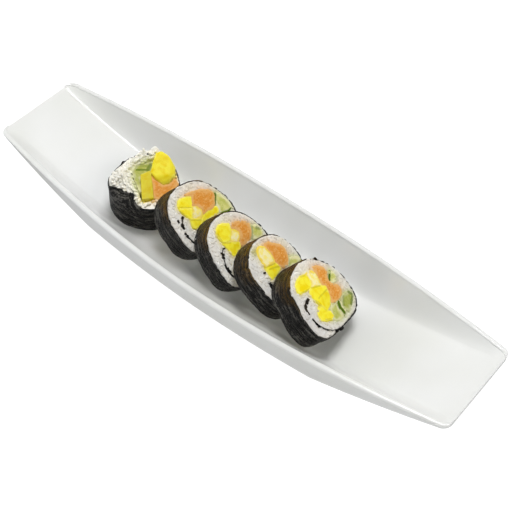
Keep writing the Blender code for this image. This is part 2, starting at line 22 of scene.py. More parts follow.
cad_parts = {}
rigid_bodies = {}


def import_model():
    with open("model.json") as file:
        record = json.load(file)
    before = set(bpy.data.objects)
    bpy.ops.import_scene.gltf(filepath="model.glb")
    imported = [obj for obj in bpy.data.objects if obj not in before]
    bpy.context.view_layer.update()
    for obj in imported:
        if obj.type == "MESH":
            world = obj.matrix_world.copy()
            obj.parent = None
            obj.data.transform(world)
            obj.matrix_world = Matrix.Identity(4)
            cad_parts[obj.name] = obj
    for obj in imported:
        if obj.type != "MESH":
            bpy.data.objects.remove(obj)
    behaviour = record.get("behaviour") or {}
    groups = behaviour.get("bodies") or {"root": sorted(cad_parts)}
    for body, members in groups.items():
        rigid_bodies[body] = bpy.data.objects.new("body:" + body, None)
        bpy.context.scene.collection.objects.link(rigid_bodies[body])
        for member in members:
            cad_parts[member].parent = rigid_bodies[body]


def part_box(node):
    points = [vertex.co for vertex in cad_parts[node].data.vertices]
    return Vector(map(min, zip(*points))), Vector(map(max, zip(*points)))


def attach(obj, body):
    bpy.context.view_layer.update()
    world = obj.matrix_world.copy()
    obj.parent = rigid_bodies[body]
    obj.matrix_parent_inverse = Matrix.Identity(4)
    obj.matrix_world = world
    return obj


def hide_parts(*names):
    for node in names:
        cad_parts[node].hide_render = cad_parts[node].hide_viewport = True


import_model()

MM = 0.001
BODY = "root"
log = logging.getLogger("maki")

Colour = tuple[float, float, float]


def display(red: float, green: float, blue: float) -> Colour:
    """Turn a colour as a screen shows it, 0 to 255, into linear light.

    Args:
        red: Red on the screen.
        green: Green on the screen.
        blue: Blue on the screen.

    Returns:
        The colour as shader sockets want it.
    """
    def linear(value: float) -> float:
        """Return one channel in linear light."""
        share = value / 255.0
        return share / 12.92 if share <= 0.04045 else ((share + 0.055) / 1.055) ** 2.4

    return linear(red), linear(green), linear(blue)


def ripple(point: Vector, wave: float, seed: float = 0.0) -> float:
    """Return smooth noise from -1 to 1 with bumps about wave across."""
    return noise.noise(point / wave + Vector((seed, 7.3 * seed, -3.1 * seed)))


def ease(value: float, start: float, end: float) -> float:
    """Return 0 before start, 1 after end and a smooth step between them."""
    share = min(max((value - start) / (end - start), 0.0), 1.0)
    return share * share * (3.0 - 2.0 * share)


def look_up(table: Sequence[tuple[float, float]], angle: float) -> float:
    """Read a table of degrees and values at an angle in radians."""
    return float(np.interp(math.degrees(angle) % 360.0, *zip(*table)))


def put(name: str, data: bpy.types.ID) -> bpy.types.Object:
    """Put new data into the scene as an object."""
    obj = bpy.data.objects.new(name, data)
    bpy.context.scene.collection.objects.link(obj)
    return obj


# Modelling by hand

def take(obj: bpy.types.Object) -> None:
    """Make obj the only selected object and the active one."""
    bpy.ops.object.select_all(action="DESELECT")
    obj.select_set(True)
    bpy.context.view_layer.objects.active = obj


def finish_modifier(obj: bpy.types.Object, kind: str, **settings: object) -> None:
    """Add a modifier with its settings and apply it.

    Args:
        obj: The object to change.
        kind: The modifier's type.
        **settings: Its properties by name.
    """
    take(obj)
    modifier = obj.modifiers.new(kind.lower(), kind)
    for name, value in settings.items():
        setattr(modifier, name, value)
    bpy.ops.object.modifier_apply(modifier=modifier.name)


def weld(obj: bpy.types.Object, distance: float) -> None:
    """Merge vertices that lie close together and turn all faces outwards.

    Args:
        obj: The object to change.
        distance: How close they lie, in metres.
    """
    take(obj)
    bpy.ops.object.mode_set(mode="EDIT")
    bpy.ops.mesh.select_all(action="SELECT")
    bpy.ops.mesh.remove_doubles(threshold=distance)
    bpy.ops.mesh.normals_make_consistent(inside=False)
    bpy.ops.object.mode_set(mode="OBJECT")


def push(obj: bpy.types.Object, rule: Callable[[Vector, Vector], float]) -> None:
    """Move every vertex along its normal.

    Args:
        obj: The object to change.
        rule: Gives the distance in millimetres from a place and its normal.
    """
    normals = [vertex.normal.copy() for vertex in obj.data.vertices]
    for vertex, normal in zip(obj.data.vertices, normals):
        vertex.co += normal * rule(vertex.co, normal) * MM


def smooth(obj: bpy.types.Object, angle: float = 40.0) -> None:
    """Shade obj smooth except across edges sharper than angle, in degrees."""
    take(obj)
    bpy.ops.object.shade_smooth_by_angle(angle=math.radians(angle))


def lay_sheet(name: str, steps: tuple[int, int],
              place: Callable[[float, float], Vector]) -> bpy.types.Object:
    """Add a grid and lay each of its points where a rule says.

    Args:
        name: Name of the new object.
        steps: Faces along the sheet and across it.
        place: Gives the place of a point from its shares along and across.

    Returns:
        The sheet, one layer thick.
    """
    bpy.ops.object.select_all(action="DESELECT")
    bpy.ops.mesh.primitive_grid_add(x_subdivisions=steps[0], y_subdivisions=steps[1], size=2.0)
    sheet = bpy.context.object
    sheet.name = name
    for vertex in sheet.data.vertices:
        vertex.co = place((vertex.co.x + 1.0) / 2.0, (vertex.co.y + 1.0) / 2.0)
    return sheet


def copy_node(node: str, name: str) -> bpy.types.Object:
    """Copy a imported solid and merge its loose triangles.

    Args:
        node: The solid's name.
        name: Name of the copy.

    Returns:
        The copy, without a material.
    """
    copy = bpy.data.objects[node].copy()
    copy.data = copy.data.copy()
    copy.name = name
    copy.data.materials.clear()
    bpy.context.scene.collection.objects.link(copy)
    take(copy)
    bpy.ops.object.mode_set(mode="EDIT")
    bpy.ops.mesh.select_all(action="SELECT")
    bpy.ops.mesh.remove_doubles(threshold=0.00001)
    bpy.ops.object.mode_set(mode="OBJECT")
    return copy


def solid_tree(*nodes: str) -> BVHTree:
    """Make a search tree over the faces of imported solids.

    Args:
        *nodes: The solids' names.

    Returns:
        The tree, in metres.
    """
    points, faces = [], []
    for node in nodes:
        mesh = bpy.data.objects[node].data
        faces += [tuple(len(points) + i for i in face.vertices) for face in mesh.polygons]
        points += [vertex.co for vertex in mesh.vertices]
    return BVHTree.FromPolygons(points, faces)


def join(parts: Sequence[bpy.types.Object], name: str) -> bpy.types.Object:
    """Join objects into the first one and rename it.

    Args:
        parts: The objects, first the one that stays.
        name: Its new name.

    Returns:
        The joined object.
    """
    take(parts[0])
    for part in parts:
        part.select_set(True)
    bpy.ops.object.join()
    parts[0].name = name
    return parts[0]


def hand_over(piece: bpy.types.Object, finish: bpy.types.Material, slot: str, *nodes: str) -> None:
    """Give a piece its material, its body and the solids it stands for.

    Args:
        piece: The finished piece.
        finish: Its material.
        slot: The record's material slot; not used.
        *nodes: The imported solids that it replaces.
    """
    piece.data.materials.clear()
    piece.data.materials.append(finish)
    for polygon in piece.data.polygons:
        polygon.material_index = 0
    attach(piece, BODY)
    if nodes:
        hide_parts(*nodes)
    log.info("%s: %d faces", piece.name, len(piece.data.polygons))


# Finishes

class Board:
    """A material's node tree, with short ways to add nodes and link them."""

    def __init__(self, name: str) -> None:
        """Start a material with one Principled shader."""
        self.material = bpy.data.materials.new(name)
        self.material.use_nodes = True
        self.tree = self.material.node_tree
        self.shader = self.tree.nodes["Principled BSDF"]

    def add(self, kind: str, **values: object) -> bpy.types.Node:
        """Add a node, setting its sockets and properties by name.

        Args:
            kind: The node's type.
            **values: Sockets, or properties where no socket has that name.

        Returns:
            The new node.
        """
        node = self.tree.nodes.new(kind)
        for name, value in values.items():
            label = name.replace("_", " ").title()
            if label in node.inputs:
                self.feed(node.inputs[label], value)
            else:
                setattr(node, name, value)
        return node

    def feed(self, socket: bpy.types.NodeSocket, value: object) -> None:
        """Link a socket to another socket, or set its plain value.

        Args:
            socket: The input.
            value: An output socket or a plain value.
        """
        if isinstance(value, bpy.types.NodeSocket):
            self.tree.links.new(value, socket)
        else:
            socket.default_value = value

    def place(self, scale: Sequence[float], kind: str = "Object") -> bpy.types.NodeSocket:
        """Return object or UV coordinates multiplied by scale."""
        coordinates = self.add("ShaderNodeTexCoord")
        mapping = self.add("ShaderNodeMapping", vector=coordinates.outputs[kind], scale=scale)
        return mapping.outputs["Vector"]

    def clouds(self, place: bpy.types.NodeSocket, scale: float, detail: float = 3.0,
               distortion: float = 0.0) -> bpy.types.NodeSocket:
        """Return a noise texture's value."""
        return self.add("ShaderNodeTexNoise", vector=place, scale=scale, detail=detail,
                        distortion=distortion).outputs["Fac"]

    def ramp(self, value: bpy.types.NodeSocket,
             stops: Sequence[tuple[float, Colour]]) -> bpy.types.NodeSocket:
        """Colour a value by stops.

        Args:
            value: The number to follow.
            stops: Places from 0 to 1 and their colours.

        Returns:
            The colour.
        """
        node = self.add("ShaderNodeValToRGB", fac=value)
        elements = node.color_ramp.elements
        for i, (position, colour) in enumerate(stops):
            element = elements[i] if i < 2 else elements.new(position)
            element.position = position
            element.color = (*colour, 1.0)
        return node.outputs["Color"]

    def level(self, value: bpy.types.NodeSocket, low: float, high: float,
              out_low: float = 0.0, out_high: float = 1.0) -> bpy.types.NodeSocket:
        """Stretch a value from one range to another and keep it there.

        Args:
            value: The number to stretch.
            low: Start of its range.
            high: End of its range.
            out_low: Start of the new range.
            out_high: End of the new range.

        Returns:
            The stretched number.
        """
        node = self.add("ShaderNodeMapRange", value=value)
        for name, number in (("From Min", low), ("From Max", high), ("To Min", out_low),
                             ("To Max", out_high)):
            node.inputs[name].default_value = number
        return node.outputs["Result"]

    def blend(self, share: object, first: object, second: object,
              mode: str = "MIX") -> bpy.types.NodeSocket:
        """Mix two colours.

        Args:
            share: How much of the second colour shows.
            first: A colour or a socket.
            second: A colour or a socket.
            mode: How they mix.

        Returns:
            The mixed colour.
        """
        node = self.add("ShaderNodeMix", data_type="RGBA", blend_type=mode)
        self.feed(node.inputs[0], share)
        for socket, value in ((node.inputs[6], first), (node.inputs[7], second)):
            self.feed(socket, value if isinstance(value, bpy.types.NodeSocket) else (*value, 1.0))
        return node.outputs[2]

    def sum(self, first: object, second: object, mode: str = "ADD") -> bpy.types.NodeSocket:
        """Combine two numbers.

        Args:
            first: A number or a socket.
            second: A number or a socket.
            mode: How they combine, by adding if not given.

        Returns:
            The combined number.
        """
        node = self.add("ShaderNodeMath", operation=mode)
        self.feed(node.inputs[0], first)
        self.feed(node.inputs[1], second)
        return node.outputs[0]

    def attribute(self, name: str, kind: str = "Fac") -> bpy.types.NodeSocket:
        """Return a number, or with kind "Color" a colour, stored on the mesh."""
        return self.add("ShaderNodeAttribute", attribute_name=name).outputs[kind]

    def bump(self, height: bpy.types.NodeSocket, depth: float) -> None:
        """Roughen the shader's surface by a height of depth metres."""
        node = self.add("ShaderNodeBump", height=height, distance=depth, strength=1.0)
        self.feed(self.shader.inputs["Normal"], node.outputs["Normal"])

    def set(self, **values: object) -> None:
        """Set or link the shader's sockets by name."""
        for name, value in values.items():
            self.feed(self.shader.inputs[name.replace("_", " ").title().replace("Ior", "IOR")], value)


@dataclass(frozen=True)
class PorcelainGlaze:
    """White porcelain under a clear, even glaze."""

    body: Colour = display(238, 239, 238)
    thin: Colour = display(232, 233, 230)
    roughness: float = 0.16

    def make(self) -> bpy.types.Material:
        """Return the glaze: faint pooling of tone and a barely uneven gloss."""
        board = Board("porcelain_glaze")
        place = board.place((1.0, 1.0, 1.0))
        pool = board.clouds(place, 14.0, 2.0)
        board.set(base_color=board.blend(board.level(pool, 0.4, 0.65), self.body, self.thin),
                  roughness=board.level(board.clouds(place, 60.0), 0.3, 0.7, self.roughness - 0.03,
                                        self.roughness + 0.04))
        board.set(coat_weight=0.35, coat_roughness=0.06)
        board.set(subsurface_weight=0.7, subsurface_scale=0.004, subsurface_radius=(1.0, 1.0, 1.0))
        board.bump(board.clouds(place, 90.0, 1.0), 0.00002)
        return board.material


@dataclass(frozen=True)
class NoriSheet:
    """Pressed seaweed: nearly black, streaked along the wrap, a little shiny."""

    black: Colour = display(8, 8, 8)
    dark: Colour = display(36, 35, 33)
    # painted highlight: the light grey of glints along the streaks
    painted_streak_glint: Colour = display(108, 106, 100)
    # painted light: brown and olive for the sheet's upper part, where light from above falls on it
    brown: Colour = display(62, 42, 0)
    olive: Colour = display(122, 90, 2)
    roughness: float = 0.36

    def make(self) -> bpy.types.Material:
        """Return the sheet's finish, whose streaks follow its UV map in metres."""
        board = Board("nori_sheet")
        streaks = board.clouds(board.place((90.0, 900.0, 1.0), "UV"), 1.0, 5.0, 0.6)
        fibres = board.clouds(board.place((420.0, 1900.0, 1.0), "UV"), 1.0, 4.0, 0.4)
        blots = board.clouds(board.place((1.0, 1.0, 1.0)), 900.0, 3.0)
        patches = board.clouds(board.place((1.0, 1.0, 1.0)), 110.0, 4.0, 0.6)
        height = board.add("ShaderNodeSeparateXYZ", vector=board.place((1.0, 1.0, 1.0))).outputs["Z"]
        # painted light: by height, with some noise, the upper part of the sheet turns brown and olive, as
        # where light from above falls on it
        painted_top_light = board.level(board.sum(height, board.sum(patches, 0.02, "MULTIPLY")), 0.045, 0.054)
        mottle = board.sum(board.sum(streaks, 0.65, "MULTIPLY"), board.sum(blots, 0.35, "MULTIPLY"))
        # the ramp's light grey top is painted highlight: glints along the streaks
        cool = board.ramp(mottle, ((0.44, self.black), (0.51, self.dark), (0.58, self.painted_streak_glint)))
        painted_light_tone = board.ramp(mottle, ((0.42, self.dark), (0.49, self.brown), (0.56, self.olive)))
        tone = board.blend(painted_top_light, cool, painted_light_tone)
        tone = board.blend(board.level(patches, 0.46, 0.66, 0.0, 0.6), tone, self.black)
        board.set(base_color=tone,
                  roughness=board.level(fibres, 0.34, 0.66, self.roughness - 0.12, self.roughness + 0.25))
        board.set(specular_ior_level=0.18)
        board.bump(board.sum(mottle, fibres), 0.0017)
        return board.material


@dataclass(frozen=True)
class CookedRice:
    """Moist, slightly see-through cooked rice."""

    white: Colour = display(254, 252, 246)
    shade: Colour = display(221, 215, 203)
    glow: Colour = (1.0, 0.92, 0.84)

    def make(self) -> bpy.types.Material:
        """Return the rice's finish, which varies from grain to grain and takes up juice."""
        board = Board("cooked_rice")
        place = board.place((1.0, 1.0, 1.0))
        tone = board.blend(board.attribute("tone"), self.shade, self.white)
        mottle = board.clouds(place, 900.0, 3.0)
        tone = board.blend(board.level(mottle, 0.4, 0.8, 0.0, 0.3), tone, self.shade)
        board.set(base_color=board.blend(1.0, tone, board.attribute("juice", "Color"), "MULTIPLY"),
                  roughness=board.level(mottle, 0.3, 0.7, 0.28, 0.5))
        board.set(subsurface_weight=0.2, subsurface_scale=0.0006, subsurface_radius=self.glow)
        board.bump(board.clouds(place, 1600.0, 2.0), 0.00004)
        return board.material


class Filling(Enum):
    """What a slice is filled with, by the word in its node's name."""

    RADISH = "radish"
    OMELETTE = "omelette"
    SALMON = "salmon"
    CUCUMBER = "cucumber"


@dataclass(frozen=True)
class FillingFinish:
    """A moist filling: a body colour, a second tone in patches, and the darker colour of its marks.

    Attributes:
        kind: Which filling it is.
        body: Its main colour.
        second: The colour of its patches or fibres.
        skin_and_shade: The colour of its marks, where its mesh's skin_and_shade attribute is 1: cucumber
            peel, and painted shade on the radish.
        rim: The colour towards its border, where its mesh's rim attribute is 1.
        grain: Size of the pattern, as bumps for each metre along X, Y and Z.
        spread: Where the second tone begins and is full, on the noise.
        roughness: How matt its wet surface is.
        relief: Depth of its bump, in metres.
        painted_glints: How clear its small pale specks are.
        glow: How much light passes through.
    """

    kind: Filling
    body: Colour
    second: Colour
    skin_and_shade: Colour
    rim: Colour
    grain: tuple[float, float, float]
    spread: tuple[float, float]
    roughness: float
    relief: float
    painted_glints: float
    glow: float = 0.06

    def make(self) -> bpy.types.Material:
        """Return the filling's finish."""
        board = Board(f"{self.kind.value}_flesh")
        place = board.place(self.grain)
        pattern = board.clouds(place, 1.0, 4.0, 0.8)
        fine = board.clouds(board.place((1.0, 1.0, 1.0)), 1500.0, 3.0)
        tone = board.blend(board.level(pattern, *self.spread), self.body, self.second)
        # painted highlight: small light flecks from fine noise stand for glints on the wet surface
        tone = board.blend(board.level(fine, 0.56, 0.68, 0.0, self.painted_glints), tone, self.rim)
        tone = board.blend(board.attribute("rim"), tone, self.rim)
        tone = board.blend(board.attribute("skin_and_shade"), tone, self.skin_and_shade)
        board.set(base_color=tone,
                  roughness=board.level(fine, 0.3, 0.7, self.roughness - 0.08, self.roughness + 0.12))
        board.set(subsurface_weight=self.glow, subsurface_scale=0.0012, subsurface_radius=(1.0, 0.7, 0.4))
        board.set(specular_ior_level=0.1)
        board.bump(board.sum(pattern, fine), self.relief)
        return board.material


# The third colour of each finish colours its marks: cucumber peel, and painted shade on the radish.
FILLING_FINISHES = (
    FillingFinish(Filling.RADISH, display(255, 242, 60), display(248, 222, 10), display(146, 118, 0),
                  display(255, 243, 92), (200.0, 200.0, 200.0), (0.44, 0.66), 0.36, 0.00012, 0.3),
    FillingFinish(Filling.OMELETTE, display(255, 244, 188), display(255, 238, 132), display(236, 208, 60),
                  display(250, 222, 88), (420.0, 420.0, 420.0), (0.44, 0.62), 0.45, 0.00025, 0.5),
    FillingFinish(Filling.SALMON, display(228, 148, 54), display(246, 194, 116), display(204, 104, 30),
                  display(238, 184, 112), (1000.0, 600.0, 900.0), (0.48, 0.7), 0.36, 0.0003, 0.4),
    FillingFinish(Filling.CUCUMBER, display(192, 196, 92), display(220, 218, 136), display(80, 108, 6),
                  display(236, 232, 182), (320.0, 320.0, 320.0), (0.4, 0.7), 0.32, 0.00012, 0.4),
)


@dataclass(frozen=True)
class Juice:
    """The tint a filling gives the rice beside it.

    Attributes:
        tint: The colour of soaked rice.
        strength: How strong it is at the filling.
        reach: Distance over which it fades, in millimetres.
    """

    tint: Colour
    strength: float
    reach: float


JUICES = {
    Filling.RADISH: Juice((1.0, 0.84, 0.1), 0.9, 0.9),
    Filling.OMELETTE: Juice((1.0, 0.88, 0.36), 0.9, 1.1),
    Filling.SALMON: Juice((0.95, 0.56, 0.24), 0.9, 1.9),
    Filling.CUCUMBER: Juice((0.66, 0.72, 0.28), 0.85, 1.5),
}


# The plate

@dataclass
class Plate:
    """The long porcelain plate: a flat foot, flared walls and rising ends.

    Lengths are millimetres. The shares say how much of a sheet's rows each
    part takes: the floor, the wall, the foot, its turn and the straight side.
    """

    rim_end: float = 32.6
    height_middle: float = 20.2
    rim: float = 3.4
    rounding: float = 1.2
    corner: float = 4.5
    flare: float = math.radians(10.6)
    foot: float = 90.0
    foot_rounding: float = 1.2
    end_edge: float = 4.0
    floor: float = 4.5
    floor_half: float = 24.5
    flat: float = 78.0
    rise_power: float = 1.25
    cove_power: float = 1.45
    lip: float = 1.0
    rim_climb: float = 1.5
    rim_power: float = 0.7
    inner_rounding: float = 0.8
    floor_share: float = 0.3
    wall_share: float = 0.8
    foot_share: float = 0.6
    turn_share: float = 0.75
    straight_share: float = 0.9
    faces: tuple[int, int] = (220, 80)
    merge: float = 0.00002
    length: float = field(init=False)
    rim_middle: float = field(init=False)
    height_end: float = field(init=False)

    def __post_init__(self) -> None:
        """Read the plate's outer sizes from the frame."""
        low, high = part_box("plate")
        self.length = (high[0] - low[0]) / MM
        self.rim_middle = (high[1] - low[1]) / MM / 2.0
        self.height_end = high[2] / MM

    def share(self, x: float) -> float:
        """Return how far x is from the middle to the end, from 0 to 1."""
        return abs(2.0 * x / self.length)

    def half_width(self, x: float) -> float:
        """Return the rim's outer half width."""
        return self.rim_end + (self.rim_middle - self.rim_end) * (1.0 - self.share(x) ** 2)

    def rim_height(self, x: float) -> float:
        """Return the rim's height."""
        return self.height_middle + (self.height_end - self.height_middle) * self.share(x) ** self.rim_climb

    def past(self, x: float, start: float) -> float:
        """Return 0 up to start, then the share of the way to the end."""
        return max(0.0, (abs(x) - start) / (self.length / 2.0 - start))

    def underside(self, x: float) -> float:
        """Return the underside's height."""
        return (self.height_end - self.end_edge) * self.past(x, self.foot)

    def floor_height(self, x: float) -> float:
        """Return the height of the floor along the plate's middle."""
        rise = self.height_end - self.lip - self.floor
        return self.floor + rise * self.past(x, self.flat) ** self.rise_power

    def top(self, x: float, share: float) -> tuple[float, float]:
        """Return a point on the floor, the coved wall or the rim.

        Args:
            x: Place along the plate.
            share: 0 at the middle line, 1 at the outer edge of the rim.

        Returns:
            Its distance from the middle line and its height.
        """
        outer = self.half_width(x)
        inner = outer - self.rim
        base = self.floor_height(x)
        if share < self.wall_share:
            y = self.floor_half * share / self.floor_share if share < self.floor_share else (
                self.floor_half + (inner - self.floor_half) * (share - self.floor_share)
                / (self.wall_share - self.floor_share))
            reach = max(0.0, (y - self.floor_half) / (inner - self.floor_half))
            wall = self.rim_height(x) - self.inner_rounding * self.rounding - base
            return y, base + wall * reach ** self.cove_power
        turn = (share - self.wall_share) / (1.0 - self.wall_share)
        angle = math.pi * (1.0 - turn)
        half = self.rim / 2.0
        drop = self.rounding * (1.0 - math.sin(angle) ** self.rim_power)
        drop *= self.inner_rounding if turn < 0.5 else 1.0
        return inner + half + half * math.cos(angle), self.rim_height(x) - drop

    def under(self, x: float, share: float) -> tuple[float, float]:
        """Return a point on the foot or the outer wall.

        Args:
            x: Place along the plate.
            share: 0 at the middle line, 1 at the outer edge of the rim.

        Returns:
            Its distance from the middle line and its height.
        """
        base = self.underside(x)
        height = self.rim_height(x)
        wall_foot = self.half_width(x) - (height - base) * math.tan(self.flare)
        flat = wall_foot - self.foot_rounding
        if share < self.foot_share:
            return flat * share / self.foot_share, base
        if share < self.turn_share:
            angle = (share - self.foot_share) / (self.turn_share - self.foot_share) * math.pi / 2.0
            return (flat + self.foot_rounding * math.sin(angle),
                    base + self.foot_rounding * (1.0 - math.cos(angle)))
        climb = (share - self.turn_share) / (1.0 - self.turn_share)
        return (wall_foot + (self.half_width(x) - wall_foot) * climb,
                base + self.foot_rounding + (height - self.rounding - base - self.foot_rounding) * climb)

    def corner_pull(self, x: float) -> float:
        """Draw the side in at the rounded corner.

        Args:
            x: Place along the plate.

        Returns:
            The share of the side's width that is left.
        """
        beyond = abs(x) - (self.length / 2.0 - self.corner)
        if beyond <= 0.0:
            return 1.0
        pull = self.corner - math.sqrt(max(self.corner ** 2 - beyond ** 2, 0.0))
        return 1.0 - pull / self.half_width(x)

    def station(self, along: float) -> float:
        """Place a row of the sheet, closer together at the ends.

        Args:
            along: Share of the sheet along the plate.

        Returns:
            The place along X.
        """
        side = 2.0 * along - 1.0
        half = self.length / 2.0
        straight = half - self.corner
        if abs(side) < self.straight_share:
            return straight * side / self.straight_share
        angle = (abs(side) - self.straight_share) / (1.0 - self.straight_share) * math.pi / 2.0
        return math.copysign(straight + self.corner * math.sin(angle), side)

    def build(self, glaze: bpy.types.Material) -> bpy.types.Object:
        """Model the plate from an upper and a lower sheet and glaze it.

        Args:
            glaze: The porcelain's material.

        Returns:
            The plate.
        """
        def lay(rule: Callable[[float, float], tuple[float, float]]) -> Callable[[float, float], Vector]:
            """Return the placing rule of one sheet."""
            def place(along: float, across: float) -> Vector:
                """Return a point of the sheet in metres."""
                x = self.station(along)
                side = 2.0 * across - 1.0
                y, z = rule(x, abs(side))
                return Vector((x, math.copysign(y * self.corner_pull(x), side), z)) * MM
            return place

        upper = lay_sheet("boat_plate", self.faces, lay(self.top))
        lower = lay_sheet("boat_plate_under", self.faces, lay(self.under))
        plate = join((upper, lower), "boat_plate")
        bpy.ops.object.mode_set(mode="EDIT")
        bpy.ops.mesh.select_all(action="DESELECT")
        bpy.ops.mesh.select_mode(type="EDGE")
        bpy.ops.mesh.select_non_manifold()
        bpy.ops.mesh.bridge_edge_loops()
        bpy.ops.object.mode_set(mode="OBJECT")
        weld(plate, self.merge)
        smooth(plate, 35.0)
        hand_over(plate, glaze, "glaze", "plate")
        return plate


# The slices

@dataclass
class Lie:
    """How a slice lies: a frame at the middle of its upper cut face.

    Attributes:
        number: The slice's number in its nodes' names.
        x: Place of the face's middle along the plate.
        y: Its place across the plate.
        heading: Direction of the face's normal round Z, in degrees.
        pitch: How steeply the normal rises, in degrees.
        thickness: The slice's thickness along its normal.
    """

    number: int
    x: float
    y: float
    heading: float
    pitch: float
    thickness: float
    across: Vector = field(init=False)
    up: Vector = field(init=False)
    axis: Vector = field(init=False)
    middle: Vector = field(init=False)

    def __post_init__(self) -> None:
        """Work out the frame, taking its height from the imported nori."""
        heading = math.radians(self.heading)
        pitch = math.radians(self.pitch)
        self.axis = Vector((math.cos(pitch) * math.cos(heading), math.cos(pitch) * math.sin(heading),
                            math.sin(pitch)))
        self.up = (Vector((0.0, 0.0, 1.0)) - self.axis * self.axis.z).normalized()
        self.across = self.up.cross(self.axis)
        nori = bpy.data.objects[self.node("nori")].data
        lowest = min(self.axis.dot(vertex.co) for vertex in nori.vertices) / MM
        face = lowest + self.thickness
        level = (face - self.axis.x * self.x - self.axis.y * self.y) / self.axis.z
        self.middle = Vector((self.x, self.y, level))

    def node(self, part: str) -> str:
        """Return the name of one of the slice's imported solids."""
        return f"roll{self.number}_{part}"

    def world(self, x: float, y: float, h: float) -> Vector:
        """Return a place in metres from slice coordinates in millimetres."""
        return (self.middle + self.across * x + self.up * y + self.axis * h) * MM

    def local(self, point: Vector) -> Vector:
        """Return slice coordinates in millimetres from a place in metres."""
        away = point / MM - self.middle
        return Vector((away.dot(self.across), away.dot(self.up), away.dot(self.axis)))

    def turn(self) -> Matrix:
        """Return the rotation from slice directions to the world's."""
        return Matrix((self.across, self.up, self.axis)).transposed()


class Outline:
    """A slice's round outline, measured on its packed nori."""

    steps = 240
    far = 60.0
    depth_share = 0.6

    def __init__(self, lie: Lie) -> None:
        """Measure the outer radius at even angles, halfway through the slice."""
        tree = solid_tree(lie.node("nori"))
        depth = -self.depth_share * lie.thickness
        self.radii = []
        for i in range(self.steps):
            angle = 2.0 * math.pi * i / self.steps
            way = lie.across * math.cos(angle) + lie.up * math.sin(angle)
            start = lie.world(0.0, 0.0, depth) + way * self.far * MM
            hit = tree.ray_cast(start, -way)[0]
            self.radii.append(self.far - (start - hit).length / MM)

    def radius(self, angle: float) -> float:
        """Read the outline between its measured angles.

        Args:
            angle: Direction round the slice, in radians.

        Returns:
            The outer radius, in millimetres.
        """
        place = angle / (2.0 * math.pi) % 1.0 * self.steps
        first = int(place)
        share = place - first
        return (self.radii[first % self.steps] * (1.0 - share)
                + self.radii[(first + 1) % self.steps] * share)


def even_path(points: Sequence[Vector], step: float) -> list[Vector]:
    """Return points at even distances along a line through the given points.

    Args:
        points: The line's corners.
        step: Distance between the new points.

    Returns:
        The new points, first and last included.
    """
    lengths = [0.0]
    for a, b in zip(points, points[1:]):
        lengths.append(lengths[-1] + (b - a).length)
    count = max(2, round(lengths[-1] / step))
    path = []
    segment = 0
    for i in range(count + 1):
        target = lengths[-1] * i / count
        while segment < len(points) - 2 and lengths[segment + 1] < target:
            segment += 1
        span = max(lengths[segment + 1] - lengths[segment], 1e-6)
        path.append(points[segment].lerp(points[segment + 1], (target - lengths[segment]) / span))
    for _ in range(3):
        path[1:-1] = [(a + 2.0 * b + c) / 4.0 for a, b, c in zip(path, path[1:], path[2:])]
    return path


